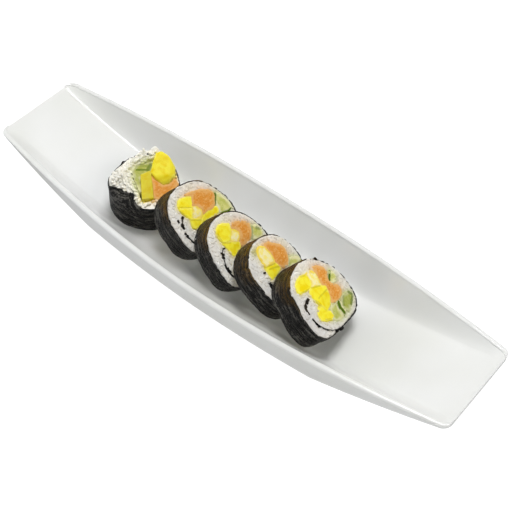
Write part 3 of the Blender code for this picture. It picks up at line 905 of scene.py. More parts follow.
@dataclass
class NoriWrap:
    """The nori of one slice: one sheet from its inner end to its outer lap.

    Attributes:
        lie: How the slice lies.
        outline: The slice's round outline.
        flap: Corners of the sheet's inner end, tip first, or none.
        joins_at: Angle where the inner end reaches the outer turn, in degrees.
        torn: Crumpled bits on the upper face: both ends and the thickness.
        lap: How far the outer end laps over the turn's start, in degrees.
        gauge: The sheet's thickness.
        step: Length of its faces along the wrap.
        row: Height of its faces.
        tip: How high the crumpled bits stand.
        turns: How many steps the outer turn is worked out in.
    """

    lie: Lie
    outline: Outline
    flap: tuple[tuple[float, float], ...] = ()
    joins_at: float = 250.0
    torn: tuple[tuple[float, float, float, float, float], ...] = ()
    lap: float = 46.0
    gauge: float = 0.3
    step: float = 0.5
    row: float = 0.6
    tip: float = 0.3
    turns: int = 150

    @staticmethod
    def wrinkle(run: float, climb: float, seed: float) -> float:
        """Return how far the sheet stands out at a place on it, in millimetres.

        Args:
            run: Distance along the sheet.
            climb: Distance across it.
            seed: The slice's own number for chance.

        Returns:
            A height in millimetres, mostly long low creases along the wrap.
        """
        crease = abs(ripple(Vector((run / 11.0, climb / 2.1 + 0.05 * run, 0.0)), 1.0, seed))
        fine = abs(ripple(Vector((run / 5.0, climb / 0.9, 4.0)), 1.0, seed))
        broad = ripple(Vector((run, climb, 2.0)), 8.0, seed)
        return 0.5 * (0.35 - crease) + 0.26 * (0.3 - fine) + 0.4 * broad

    def covers(self, x: float, y: float) -> bool:
        """Tell whether crumpled nori takes a place on the rice.

        Args:
            x: Slice coordinate across the face.
            y: Slice coordinate up the face.

        Returns:
            Whether no grain may lie there.
        """
        spot = Vector((x, y))
        for x0, y0, x1, y1, size in self.torn:
            share = geometry.intersect_point_line(spot, Vector((x0, y0)), Vector((x1, y1)))[1]
            near = Vector((x0, y0)).lerp(Vector((x1, y1)), min(max(share, 0.0), 1.0))
            if (spot - near).length < 0.5 * size:
                return True
        return False

    def heave(self, x: float, y: float) -> float:
        """Return how much higher than its solid the slice stands at a place."""
        return 0.0

    def ground(self, spot: Vector) -> float:
        """Return the height of the rice at a place on the upper face."""
        return 0.0

    def path(self) -> list[Vector]:
        """Follow the sheet from its inner end round to its outer lap.

        Returns:
            The sheet's middle line in slice coordinates.
        """
        start = math.radians(self.joins_at)
        lap = math.radians(self.lap)
        corners = [Vector((x, y, 0.0)) for x, y in self.flap]
        for i in range(self.turns + 1):
            gone = (2.0 * math.pi + lap) * i / self.turns
            tucked = 1.5 * self.gauge * (1.0 - ease(gone, lap, lap + 0.5))
            reach = self.outline.radius(start + gone) - 0.62 * self.gauge - tucked
            corners.append(Vector((math.cos(start + gone), math.sin(start + gone), 0.0)) * reach)
        return even_path(corners, self.step)

    def build(self, finish: bpy.types.Material) -> bpy.types.Object:
        """Model the wrap as a wrinkled sheet, thicken it and finish it.

        Args:
            finish: The nori's material.

        Returns:
            The wrap.
        """
        path = self.path()
        length = self.step * (len(path) - 1)
        flap_length = sum((Vector(b) - Vector(a)).length for a, b in zip(self.flap, self.flap[1:]))
        rows = round(self.lie.thickness / self.row)
        seed = 11.0 * self.lie.number

        def place(along: float, across: float) -> Vector:
            """Return a point of the sheet in metres."""
            i = min(round(along * (len(path) - 1)), len(path) - 1)
            ahead = (path[min(i + 1, len(path) - 1)] - path[max(i - 1, 0)]).normalized()
            outward = Vector((ahead.y, -ahead.x, 0.0))
            run = along * length
            outer = ease(run, flap_length, flap_length + 6.0)
            ragged = max(0.0, ripple(Vector((run, 0.0, 0.0)), 2.2, seed))
            gap = max(0.0, ripple(Vector((run, 9.0, 0.0)), 3.2, seed) - 0.1)
            back = max(0.0, math.cos(math.atan2(path[i].y, path[i].x) - 0.8))
            hidden = back * (1.0 - 1.8 * max(0.0, ripple(Vector((run, 4.0, 0.0)), 3.4, seed)))
            top = 0.15 - 3.4 * gap * (1.0 - outer) - (0.3 + 1.7 * ragged + hidden) * outer
            bottom = -self.lie.thickness + 0.06 + 0.3 * abs(ripple(Vector((run, 5.0, 0.0)), 2.6, seed))
            h = bottom + (top - bottom) * across
            wrinkle = self.wrinkle(run, h, seed)
            point = path[i] + outward * (wrinkle - 0.15) * (0.3 + 0.7 * outer)
            return self.lie.world(point.x, point.y, h)

        return self.finish_sheet(lay_sheet("sheet", (len(path) - 1, rows), place), length, finish)

    def finish_sheet(self, sheet: bpy.types.Object, length: float,
                     finish: bpy.types.Material) -> bpy.types.Object:
        """Map the sheet, give it its gauge and its bits, and hand it over.

        Args:
            sheet: The sheet, one layer thick.
            length: Its length along the wrap, in millimetres.
            finish: The nori's material.

        Returns:
            The wrap.
        """
        layer = sheet.data.uv_layers.active
        for item in layer.data:
            u, v = item.uv
            item.uv = (u * length * MM, v * self.lie.thickness * MM)
        finish_modifier(sheet, "SOLIDIFY", thickness=self.gauge * MM, offset=0.0)
        wrap = join((sheet, *self.bits()), f"slice{self.lie.number}_nori")
        smooth(wrap, 50.0)
        hand_over(wrap, finish, "nori", self.lie.node("nori"))
        return wrap

    def bits(self) -> list[bpy.types.Object]:
        """Model the crumpled and torn bits of nori on the upper face.

        Returns:
            The bits, each with its own mesh.
        """
        bits = []
        for x0, y0, x1, y1, size in self.torn:
            start, end = Vector((x0, y0, 0.0)), Vector((x1, y1, 0.0))
            side = (end - start).normalized().cross(Vector((0.0, 0.0, 1.0)))
            columns = max(4, round((end - start).length / 0.25))

            def place(along: float, across: float) -> Vector:
                """Return a point of the bit in metres."""
                spot = start.lerp(end, along)
                ground = self.ground(spot)
                tip = self.tip * (1.0 - abs(2.0 * along - 1.0) ** 3) + 0.4 * self.tip * ripple(spot, 0.9, 2.0)
                spot += side * (0.5 * ripple(spot, 1.6, 4.0) + 0.5 * across * ripple(spot, 2.2, 9.0))
                return self.lie.world(spot.x, spot.y, ground - 1.2 + across * (1.2 + max(0.1, tip)))

            bit = lay_sheet("bit", (columns, 5), place)
            finish_modifier(bit, "SOLIDIFY", thickness=size * MM, offset=0.0)
            bits.append(bit)
        return bits


@dataclass
class FoldedWrap(NoriWrap):
    """The nori of the roll's end, whose upper edge folds in over the rice.

    Attributes:
        reaches: How far the edge folds in, by the angle in degrees.
        drops: How much lower the torn edge is, by the angle.
        stands: How much higher the edge stands, by the angle.
        spare: Height of sheet kept for the fold.
        border: Width along the nori that no grain takes.
        inner_radius: Radius inside the nori.
        bend_radius: Radius of the fold.
    """

    reaches: tuple[tuple[float, float], ...] = (
        (180.0, 0.0), (187.0, 3.6), (195.0, 6.0), (204.0, 7.4), (214.0, 8.6), (222.0, 10.2), (227.0, 9.4),
        (232.0, 6.0), (238.0, 4.6), (246.0, 2.4), (256.0, 0.0),
    )
    drops: tuple[tuple[float, float], ...] = (
        (0.0, 2.4), (22.0, 2.4), (45.0, 2.0), (62.0, 1.4), (84.0, 1.8), (100.0, 4.0), (128.0, 4.8),
        (148.0, 3.4), (160.0, 0.6), (172.0, -0.8), (186.0, -0.4), (196.0, 0.0), (296.0, 0.0), (318.0, 1.2),
        (340.0, 2.2), (360.0, 2.4),
    )
    stands: tuple[tuple[float, float], ...] = (
        (0.0, 0.0), (88.0, 0.0), (98.0, 1.4), (118.0, 1.8), (128.0, 0.6), (136.0, 0.0), (360.0, 0.0),
    )
    gauge: float = 0.45
    row: float = 0.5
    spare: float = 12.0
    border: float = 1.5
    inner_radius: float = 22.6
    bend_radius: float = 3.0
    tip: float = 1.5

    def __post_init__(self) -> None:
        """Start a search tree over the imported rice."""
        self.rice = solid_tree(self.lie.node("rice"))

    def heave(self, x: float, y: float) -> float:
        """Return how much higher than its solid the roll's loose end stands at a place."""
        lift = sum(height * math.exp(-((x - x0) ** 2 + (y - y0) ** 2) / reach ** 2)
                   for x0, y0, height, reach in HEAPS)
        return lift - (0.6 + self.drop(math.atan2(y, x))) * ease(math.hypot(x, y), 15.0, 21.5)

    def ground(self, spot: Vector) -> float:
        """Return the height of the heaped rice at a place."""
        hit = self.rice.ray_cast(self.lie.world(spot.x, spot.y, 14.0), -self.lie.axis)[0]
        return (self.lie.local(hit).z if hit else 0.0) + self.heave(spot.x, spot.y)

    def fold(self, angle: float) -> float:
        """Return how far the edge is folded in at an angle, in millimetres."""
        return look_up(self.reaches, angle)

    def drop(self, angle: float) -> float:
        """Return how much lower the torn edge is at an angle, in millimetres."""
        return look_up(self.drops, angle)

    def covers(self, x: float, y: float) -> bool:
        """Return whether the fold or the standing edge takes a place on the rice."""
        reach = self.fold(math.atan2(y, x))
        return math.hypot(x, y) > self.inner_radius - max(self.border, reach) or super().covers(x, y)

    def section(self, over: float, share: float) -> tuple[float, float]:
        """Return how far in and up the sheet has gone past the start of its bend.

        Args:
            over: Distance along the sheet from the start of the bend.
            share: How far the edge is folded in here, from 0 to 1.

        Returns:
            The distance inwards and the distance up.
        """
        turned = min(over / self.bend_radius, 1.72 * min(1.0, 2.5 * share))
        flat = over - turned * self.bend_radius
        return (self.bend_radius * (1.0 - math.cos(turned)) + flat * math.sin(turned),
                self.bend_radius * math.sin(turned) + flat * math.cos(turned))

    def build(self, finish: bpy.types.Material) -> bpy.types.Object:
        """Model the folded wrap, thicken it and finish it.

        Args:
            finish: The nori's material.

        Returns:
            The wrap.
        """
        path = self.path()
        length = self.step * (len(path) - 1)
        rows = round((self.lie.thickness + self.spare) / self.row)
        seed = 11.0 * self.lie.number

        def place(along: float, across: float) -> Vector:
            """Return a point of the sheet in metres."""
            i = min(round(along * (len(path) - 1)), len(path) - 1)
            outward = path[i].normalized()
            run = along * length
            angle = math.atan2(path[i].y, path[i].x)
            reach = self.fold(angle)
            share = min(1.0, reach / 6.0)
            ragged = max(0.0, 0.4 + ripple(Vector((run, 0.0, 0.0)), 3.1, seed))
            drop = self.drop(angle)
            stand = look_up(self.stands, angle)
            tall = self.lie.thickness - 0.2 - (0.9 + 0.4 * drop) * ragged * (1.0 - share) - drop + stand
            torn = (0.9 * ripple(Vector((run, 3.0, 0.0)), 2.4, seed)
                    + 0.6 * ripple(Vector((run, 9.0, 0.0)), 1.0, seed))
            climb = across * (tall + reach + share * torn)
            bend_at = tall - self.bend_radius * share
            inward, up = self.section(max(0.0, climb - bend_at), share)
            level = -self.lie.thickness + min(climb, bend_at) + up
            wrinkle = self.wrinkle(run, climb, seed) * (1.0 + 0.8 * share)
            lean = 0.3 * drop * ease(level, -12.0, 0.0)
            point = path[i] + outward * (wrinkle - 0.25 - inward - lean)
            return self.lie.world(point.x, point.y, level + 1.2 * wrinkle * ease(inward, 0.0, 3.0))

        return self.finish_sheet(lay_sheet("sheet", (len(path) - 1, rows), place), length, finish)


class GrainMould:
    """The grain of rice that every other one is copied from."""

    length = 5.0
    width = 2.2
    height = 1.9
    taper = 0.12
    blunting = 0.1
    curve = 0.14

    def __init__(self) -> None:
        """Shape one grain from a ball: long, blunt at one end, a little bent."""
        bpy.ops.object.select_all(action="DESELECT")
        bpy.ops.mesh.primitive_uv_sphere_add(segments=8, ring_count=6, radius=1.0)
        ball = bpy.context.object
        self.points = []
        for vertex in ball.data.vertices:
            z, y, x = vertex.co
            blunt = 1.0 + self.taper * x - self.blunting * x * x
            bend = self.curve * x * x
            self.points.append((x * self.length / 2.0, (y * blunt + bend) * self.width / 2.0,
                                z * blunt * self.height / 2.0))
        self.faces = [tuple(face.vertices) for face in ball.data.polygons]
        bpy.data.objects.remove(ball)


@dataclass(frozen=True)
class StainAndShade:
    """A tinted patch on the rice, in slice coordinates. Most are juice stains; the grey and bluish ones
    beside the nori are painted shade.
    """

    x: float
    y: float
    reach: float
    colour: Colour
    strength: float = 0.6


def store_numbers(obj: bpy.types.Object, name: str, numbers: Sequence[float]) -> None:
    """Store a number for each vertex of a mesh."""
    obj.data.attributes.new(name, "FLOAT", "POINT").data.foreach_set("value", numbers)


def store_colours(obj: bpy.types.Object, name: str, colours: Sequence[Sequence[float]]) -> None:
    """Store a colour for each vertex of a mesh."""
    layer = obj.data.attributes.new(name, "FLOAT_COLOR", "POINT")
    layer.data.foreach_set("color", [channel for colour in colours for channel in colour])


@dataclass(frozen=True)
class Mark:
    """A darker line or patch on a filling, in slice coordinates: cucumber peel, and painted shade on the
    radish pieces.
    """

    start: tuple[float, float]
    end: tuple[float, float]
    width: float
    strength: float = 1.0

    def share(self, spot: Vector) -> float:
        """Tell how strongly the mark shows at a place.

        Args:
            spot: The place in slice coordinates.

        Returns:
            A share from 0 to 1.
        """
        start = Vector(self.start)
        line = Vector(self.end) - start
        away = Vector((spot.x, spot.y)) - start
        along = min(max(away.dot(line) / line.length_squared, 0.0), 1.0)
        gap = (away - line * along).length + 0.22 * ripple(spot, 1.1, 8.0)
        return self.strength * (1.0 - ease(gap, 0.4 * self.width, self.width))


@dataclass(frozen=True)
class Facet:
    """A flat cut on a filling: a place on it and its outward direction."""

    place: tuple[float, float, float]
    facing: tuple[float, float, float]


RIM_WIDTHS = {Filling.RADISH: 0.8, Filling.OMELETTE: 1.2, Filling.SALMON: 2.2, Filling.CUCUMBER: 2.0}


@dataclass
class FillingRod:
    """One filling of a slice: a cut stick that runs through it.

    Attributes:
        lie: How the slice lies.
        part: The filling's word in its node's name.
        section: The corners of its sides, in slice coordinates.
        marks: Darker lines and patches: cucumber peel, and painted shade on the radish.
        facets: Flat cuts that shape its upper end.
        top: Height of its upper end before those cuts.
        bevel: Width of its softened edges.
        swell: How far its sides grow to meet its neighbours, in millimetres.
        voxel: Size of its mesh's faces.
        stop: How far it stops short of the lower cut face.
    """

    lie: Lie
    part: str
    section: tuple[tuple[float, float], ...]
    marks: tuple[Mark, ...] = ()
    facets: tuple[Facet, ...] = ()
    top: float = 0.0
    bevel: float = 0.15
    swell: float = 0.75
    voxel: float = 0.36
    stop: float = 0.5

    def __post_init__(self) -> None:
        """Tell which filling it is."""
        self.kind = Filling(self.part.split("_")[0])
        self.seed = float(sum(map(ord, self.part)) + 17 * self.lie.number)

    def relief(self, spot: Vector) -> float:
        """Shape the surface in the way of its filling.

        Args:
            spot: The place in slice coordinates.

        Returns:
            How far the surface stands out, in millimetres.
        """
        if self.kind is Filling.SALMON:
            strand = Vector(((0.8 * spot.x + 0.6 * spot.y) / 5.0, (0.8 * spot.y - 0.6 * spot.x) / 0.9,
                             spot.z / 4.0))
            return 0.16 * ripple(strand, 1.0, self.seed) + 0.1 * ripple(spot, 1.4, self.seed)
        if self.kind is Filling.OMELETTE:
            return 0.12 * ripple(spot, 2.4, self.seed) - 0.3 * max(0.0, ripple(spot, 1.2, self.seed) - 0.2)
        if self.kind is Filling.CUCUMBER:
            return 0.1 * ripple(spot, 2.6, self.seed) + 0.05 * ripple(spot, 1.0, self.seed)
        return 0.1 * ripple(spot, 3.2, self.seed) + 0.04 * ripple(spot, 1.1, self.seed)

    def gap(self, x: float, y: float) -> float:
        """Measure how far a place lies from the section.

        Args:
            x: Slice coordinate across the face.
            y: Slice coordinate up the face.

        Returns:
            The distance in millimetres, negative inside the section.
        """
        nearest, inside = math.inf, False
        for (x0, y0), (x1, y1) in zip(self.section, self.section[1:] + self.section[:1]):
            along, up = x1 - x0, y1 - y0
            share = min(max(((x - x0) * along + (y - y0) * up) / (along * along + up * up), 0.0), 1.0)
            nearest = min(nearest, math.hypot(x - x0 - share * along, y - y0 - share * up))
            if (y0 > y) != (y1 > y) and x < x0 + along * (y - y0) / up:
                inside = not inside
        return -nearest if inside else nearest

    def rim(self, spot: Vector) -> float:
        """Return how near a place is to the filling's border, 1 at the border."""
        inwards = -self.gap(spot.x, spot.y) + 1.3 * ripple(spot, 2.6, self.seed)
        return 1.0 - ease(inwards, 0.0, RIM_WIDTHS[self.kind])

    def body(self) -> bpy.types.Object:
        """Raise the section, cut its upper end flat and soften its edges.

        Returns:
            The block, before its surface is shaped.
        """
        bottom = self.stop - self.lie.thickness
        bpy.ops.object.select_all(action="DESELECT")
        bpy.ops.mesh.primitive_circle_add(vertices=len(self.section), radius=1.0, fill_type="NGON")
        block = bpy.context.object
        for vertex, (x, y) in zip(block.data.vertices, self.section):
            vertex.co = self.lie.world(x, y, bottom)
        bpy.ops.object.mode_set(mode="EDIT")
        bpy.ops.mesh.select_all(action="SELECT")
        bpy.ops.mesh.extrude_region_move(
            TRANSFORM_OT_translate={"value": self.lie.axis * (self.top - bottom) * MM})
        for facet in self.facets:
            bpy.ops.mesh.select_all(action="SELECT")
            bpy.ops.mesh.bisect(plane_co=self.lie.world(*facet.place),
                                plane_no=self.lie.turn() @ Vector(facet.facing).normalized(),
                                use_fill=True, clear_outer=True)
        bpy.ops.mesh.select_all(action="SELECT")
        bpy.ops.mesh.normals_make_consistent(inside=False)
        bpy.ops.mesh.bevel(offset=self.bevel * MM, segments=2, affect="EDGES")
        bpy.ops.object.mode_set(mode="OBJECT")
        return block

    def build(self, finishes: dict[Filling, bpy.types.Material]) -> bpy.types.Object:
        """Remesh the body, roughen it, mark it and finish it.

        Args:
            finishes: The material of each kind of filling.

        Returns:
            The filling.
        """
        rod = self.body()
        rod.name = f"slice{self.lie.number}_{self.part}"
        finish_modifier(rod, "REMESH", mode="VOXEL", voxel_size=self.voxel * MM)
        finish_modifier(rod, "SMOOTH", factor=0.5, iterations=1)
        push(rod, lambda place, normal: self.swell * (1.0 - abs(normal.dot(self.lie.axis)))
             + self.relief(self.lie.local(place)))
        spots = [self.lie.local(vertex.co) for vertex in rod.data.vertices]
        # the marks: cucumber peel, and painted shade on the radish pieces' seams, the chunk's bottom and the
        # slab
        store_numbers(rod, "skin_and_shade",
                      [max([mark.share(spot) for mark in self.marks], default=0.0) for spot in spots])
        store_numbers(rod, "rim", [self.rim(spot) for spot in spots])
        smooth(rod, 60.0)
        hand_over(rod, finishes[self.kind], self.kind.value, self.lie.node(self.part))
        return rod


@dataclass
class RiceBed:
    """The rice of one slice: a smaller core under real grains on both faces.

    Attributes:
        lie: How the slice lies.
        mould: The grain to copy.
        wrap: The slice's nori.
        rods: The slice's fillings.
        stains_and_shade: Juice stains on the upper face, and patches of painted shade beside the nori.
        spacing: Least distance between two grains' middles.
        sunk: Depth of the core under the cut faces.
        overlap: How far outside a filling's border a grain's middle must be.
        creamy: The tint of the loose end's rice.
        tries: How many places are tried on each face.
        half_field: Half the side of the square that they are drawn from.
        heap_shares: Shares of a whole grain's length tried on the heap.
        face_shares: The same on a cut face.
        end_share: Where along its half length a grain's end is tested.
        slack: How far from a cut face the rice still counts as that face.
        heap_depth: How far down the heap's surface counts.
        tint_reach: Distance beyond which a filling gives no tint.
        voxel: Size of the core's faces.
    """

    lie: Lie
    mould: GrainMould
    wrap: NoriWrap
    rods: Sequence[FillingRod]
    stains_and_shade: Sequence[StainAndShade] = ()
    spacing: float = 1.45
    sunk: float = 0.05
    overlap: float = -0.3
    creamy: Colour = (1.0, 0.99, 0.94)
    tries: int = 9000
    half_field: float = 27.5
    heap_shares: tuple[float, ...] = (0.78, 0.64, 0.5)
    face_shares: tuple[float, ...] = (0.7, 0.56, 0.44)
    end_share: float = 0.84
    slack: float = 0.9
    heap_depth: float = 3.0
    tint_reach: float = 8.0
    voxel: float = 0.55

    def __post_init__(self) -> None:
        """Start the slice's own chance and its search trees."""
        self.rng = random.Random(100 + self.lie.number)
        self.filled = [self.lie.node(rod.part) for rod in self.rods if self.lie.number != 1]
        self.tree = solid_tree(self.lie.node("rice"), *self.filled)

    def surface(self, x: float, y: float, side: int) -> Vector | None:
        """Return the rice's surface under a point of one face, or nothing.

        Args:
            x: Slice coordinate across the face.
            y: Slice coordinate up the face.
            side: 1 for the upper face and -1 for the lower one.

        Returns:
            The place in slice coordinates, or None off the rice.
        """
        if side > 0 and self.wrap.covers(x, y) or min(rod.gap(x, y) for rod in self.rods) < self.overlap:
            return None
        start = 14.0 if side > 0 else -self.lie.thickness - 12.0
        hit = self.tree.ray_cast(self.lie.world(x, y, start), -self.lie.axis * side)[0]
        if hit is None:
            return None
        spot = self.lie.local(hit)
        edge = -self.slack if side > 0 else self.slack - self.lie.thickness
        if (spot.z - edge) * side < 0.0 and not (self.is_heap(side) and spot.z > -self.heap_depth):
            return None
        spot.z += self.wrap.heave(x, y) if side > 0 else 0.0
        return spot

    def is_heap(self, side: int) -> bool:
        """Return whether a face is a loose heap instead of a clean cut."""
        return self.lie.number == 1 and side > 0

    def juice(self, spot: Vector) -> tuple[float, float, float, float]:
        """Tint the rice near fillings, stains and patches of painted shade.

        Args:
            spot: The place in slice coordinates.

        Returns:
            The colour that the rice is multiplied by.
        """
        colour = Vector(self.creamy if self.lie.number == 1 else (1.0, 1.0, 1.0))
        drift = min(1.1, 0.95 + 0.6 * ripple(spot, 4.0, 3.0))
        for rod in self.rods:
            juice = JUICES[rod.kind]
            gap = max(0.0, rod.gap(spot.x, spot.y) - 0.4)
            if gap < self.tint_reach:
                colour = colour.lerp(Vector(juice.tint) * colour.x,
                                     juice.strength * drift * math.exp(-gap / juice.reach))
        # juice stains, and patches of painted shade beside the nori
        for tinted_patch in self.stains_and_shade:
            away = math.hypot(spot.x - tinted_patch.x, spot.y - tinted_patch.y) / tinted_patch.reach
            if spot.z > -self.heap_depth and away < 2.5:
                colour = colour.lerp(Vector(tinted_patch.colour), tinted_patch.strength * drift * math.exp(-away * away))
        return (*colour, 1.0)

    def core(self) -> bpy.types.Object:
        """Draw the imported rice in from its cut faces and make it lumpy.

        Returns:
            The core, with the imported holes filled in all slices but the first.
        """
        solids = [copy_node(node, node + "_copy") for node in (self.lie.node("rice"), *self.filled)]
        core = join(solids, f"slice{self.lie.number}_rice_core")
        for vertex in core.data.vertices:
            spot = self.lie.local(vertex.co)
            if spot.z > -self.lie.thickness / 2.0:
                spot.z -= self.sunk
            else:
                spot.z += self.sunk
            vertex.co = self.lie.world(*spot)
        finish_modifier(core, "REMESH", mode="VOXEL", voxel_size=self.voxel * MM)
        for vertex in core.data.vertices:
            spot = self.lie.local(vertex.co)
            lift = self.wrap.heave(spot.x, spot.y) * ease(spot.z, -10.0, -1.5)
            if self.filled and abs(spot.z + self.lie.thickness / 2.0) > self.lie.thickness / 2.0 - 2.0:
                inside = 1.0 - ease(min(rod.gap(spot.x, spot.y) for rod in self.rods), -0.7, 0.0)
                lift -= 1.5 * inside * math.copysign(1.0, spot.z + self.lie.thickness / 2.0)
            vertex.co += self.lie.axis * lift * MM
        push(core, lambda place, normal: 0.14 * ripple(place / MM, 1.9, 5.0)
             + 0.07 * ripple(place / MM, 0.9, 6.0)
             + self.girth(self.lie.local(place).z) * (1.0 - abs(normal.dot(self.lie.axis))))
        return core

    def girth(self, z: float) -> float:
        """Say how far the core's side stands out.

        It meets the nori at its rims and is drawn in between them.

        Args:
            z: Height above the upper cut face.

        Returns:
            The distance in millimetres, negative where it is drawn in.
        """
        start = 1.0 if self.lie.number == 1 else 2.2
        return 0.3 - 1.1 * min(ease(-z, start, start + 1.3), ease(z + self.lie.thickness, 0.2, 1.2))

    def spots(self, side: int) -> Iterable[Vector]:
        """Yield places for grains, none closer than the spacing.

        Args:
            side: 1 for the upper face and -1 for the lower one.

        Yields:
            The places in slice coordinates.
        """
        cell = self.spacing / math.sqrt(2.0)
        taken: dict[tuple[int, int], tuple[float, float]] = {}
        for _ in range(self.tries):
            x = self.rng.uniform(-self.half_field, self.half_field)
            y = self.rng.uniform(-self.half_field, self.half_field)
            key = (math.floor(x / cell), math.floor(y / cell))
            near = [taken.get((key[0] + i, key[1] + j)) for i in range(-2, 3) for j in range(-2, 3)]
            if any(p and math.hypot(p[0] - x, p[1] - y) < self.spacing for p in near):
                continue
            spot = self.surface(x, y, side)
            if spot is None:
                continue
            taken[key] = (x, y)
            yield spot

    def fit(self, spot: Vector, angle: float, side: int) -> float:
        """Find how long a grain may be before it leaves the rice.

        Args:
            spot: The grain's middle in slice coordinates.
            angle: Its direction on the face, in radians.
            side: 1 for the upper face and -1 for the lower one.

        Returns:
            Its share of the mould's length, or 0 if none fits.
        """
        for share in self.heap_shares if self.is_heap(side) else self.face_shares:
            reach = 0.5 * self.mould.length * share * self.end_share
            ends = [self.surface(spot.x + sign * reach * math.cos(angle),
                                 spot.y + sign * reach * math.sin(angle), side) for sign in (-1, 1)]
            if all(ends):
                return share
        return 0.0

    def lay(self, side: int) -> tuple[list[np.ndarray], list[float], list[Vector]]:
        """Lay grains on one face.

        Args:
            side: 1 for the upper face and -1 for the lower one.

        Returns:
            The points, tone and middle of each grain.
        """
        shape = np.array(self.mould.points)
        heap = self.is_heap(side)
        grains, tones, middles = [], [], []
        for spot in self.spots(side):
            angle = 3.0 * ripple(spot, 9.0, 2.0) + self.rng.gauss(0.0, 0.9)
            share = self.fit(spot, angle, side)
            if share == 0.0:
                angle += math.pi / 2.0
                share = self.fit(spot, angle, side)
            if share == 0.0:
                continue
            tilt = self.rng.gauss(0.0, 0.4 if heap else 0.13)
            size = self.rng.uniform(0.86, 1.08)
            turn = (Matrix.Rotation(angle, 3, "Z") @ Matrix.Rotation(tilt, 3, "Y")
                    @ Matrix.Rotation(self.rng.uniform(0.0, 2.0 * math.pi), 3, "X"))
            points = shape * np.array((share * size, min(1.0, 0.4 + share) * size, size))
            points = points @ np.array(turn).T
            lift = self.rng.uniform(0.1, 1.9) if heap else self.rng.uniform(0.02, 0.5)
            level = spot.z + side * lift - (points[:, 2].max() if side > 0 else points[:, 2].min())
            grains.append(points + np.array((spot.x, spot.y, level)))
            tones.append(self.rng.uniform(0.9, 1.0) if heap else self.rng.uniform(0.0, 0.85))
            middles.append(spot)
        return grains, tones, middles

    def build(self, finish: bpy.types.Material) -> bpy.types.Object:
        """Lay grains over the core, join them and finish them.

        Args:
            finish: The rice's material.

        Returns:
            The bed of rice.
        """
        core = self.core()
        store_numbers(core, "tone", [1.0 if self.is_heap(1) else 0.5] * len(core.data.vertices))
        store_colours(core, "juice", [self.juice(self.lie.local(v.co)) for v in core.data.vertices])
        laid = [self.lay(side) for side in (1, -1)]
        grains = [grain for face in laid for grain in face[0]]
        tones = [tone for face in laid for tone in face[1]]
        juices = [self.juice(spot) for face in laid for spot in face[2]]
        points = np.concatenate(grains) @ np.array(self.lie.turn()).T + np.array(self.lie.middle)
        count = len(self.mould.points)
        faces = [tuple(i + count * k for i in face) for k in range(len(grains)) for face in self.mould.faces]
        mesh = bpy.data.meshes.new("grains")
        mesh.from_pydata((points * MM).tolist(), [], faces)
        loose = put("grains", mesh)
        store_numbers(loose, "tone", [tone for tone in tones for _ in range(count)])
        store_colours(loose, "juice", [juice for juice in juices for _ in range(count)])
        bed = join((core, loose), f"slice{self.lie.number}_rice")
        smooth(bed, 75.0)
        hand_over(bed, finish, "rice", self.lie.node("rice"))
        log.info("slice %d: %d grains", self.lie.number, len(grains))
        return bed


@dataclass
class Slice:
    """One slice of the roll with its nori, rice and fillings."""

    lie: Lie
    wrap: NoriWrap
    rods: tuple[FillingRod, ...]
    stains_and_shade: tuple[StainAndShade, ...] = ()

    def build(self, mould: GrainMould, nori: bpy.types.Material, rice: bpy.types.Material,
              finishes: dict[Filling, bpy.types.Material]) -> None:
        """Build all of the slice's pieces.

        Args:
            mould: The grain to copy.
            nori: The nori's material.
            rice: The rice's material.
            finishes: The material of each kind of filling.
        """
        self.wrap.build(nori)
        RiceBed(self.lie, mould, self.wrap, self.rods, self.stains_and_shade).build(rice)
        for rod in self.rods:
            rod.build(finishes)


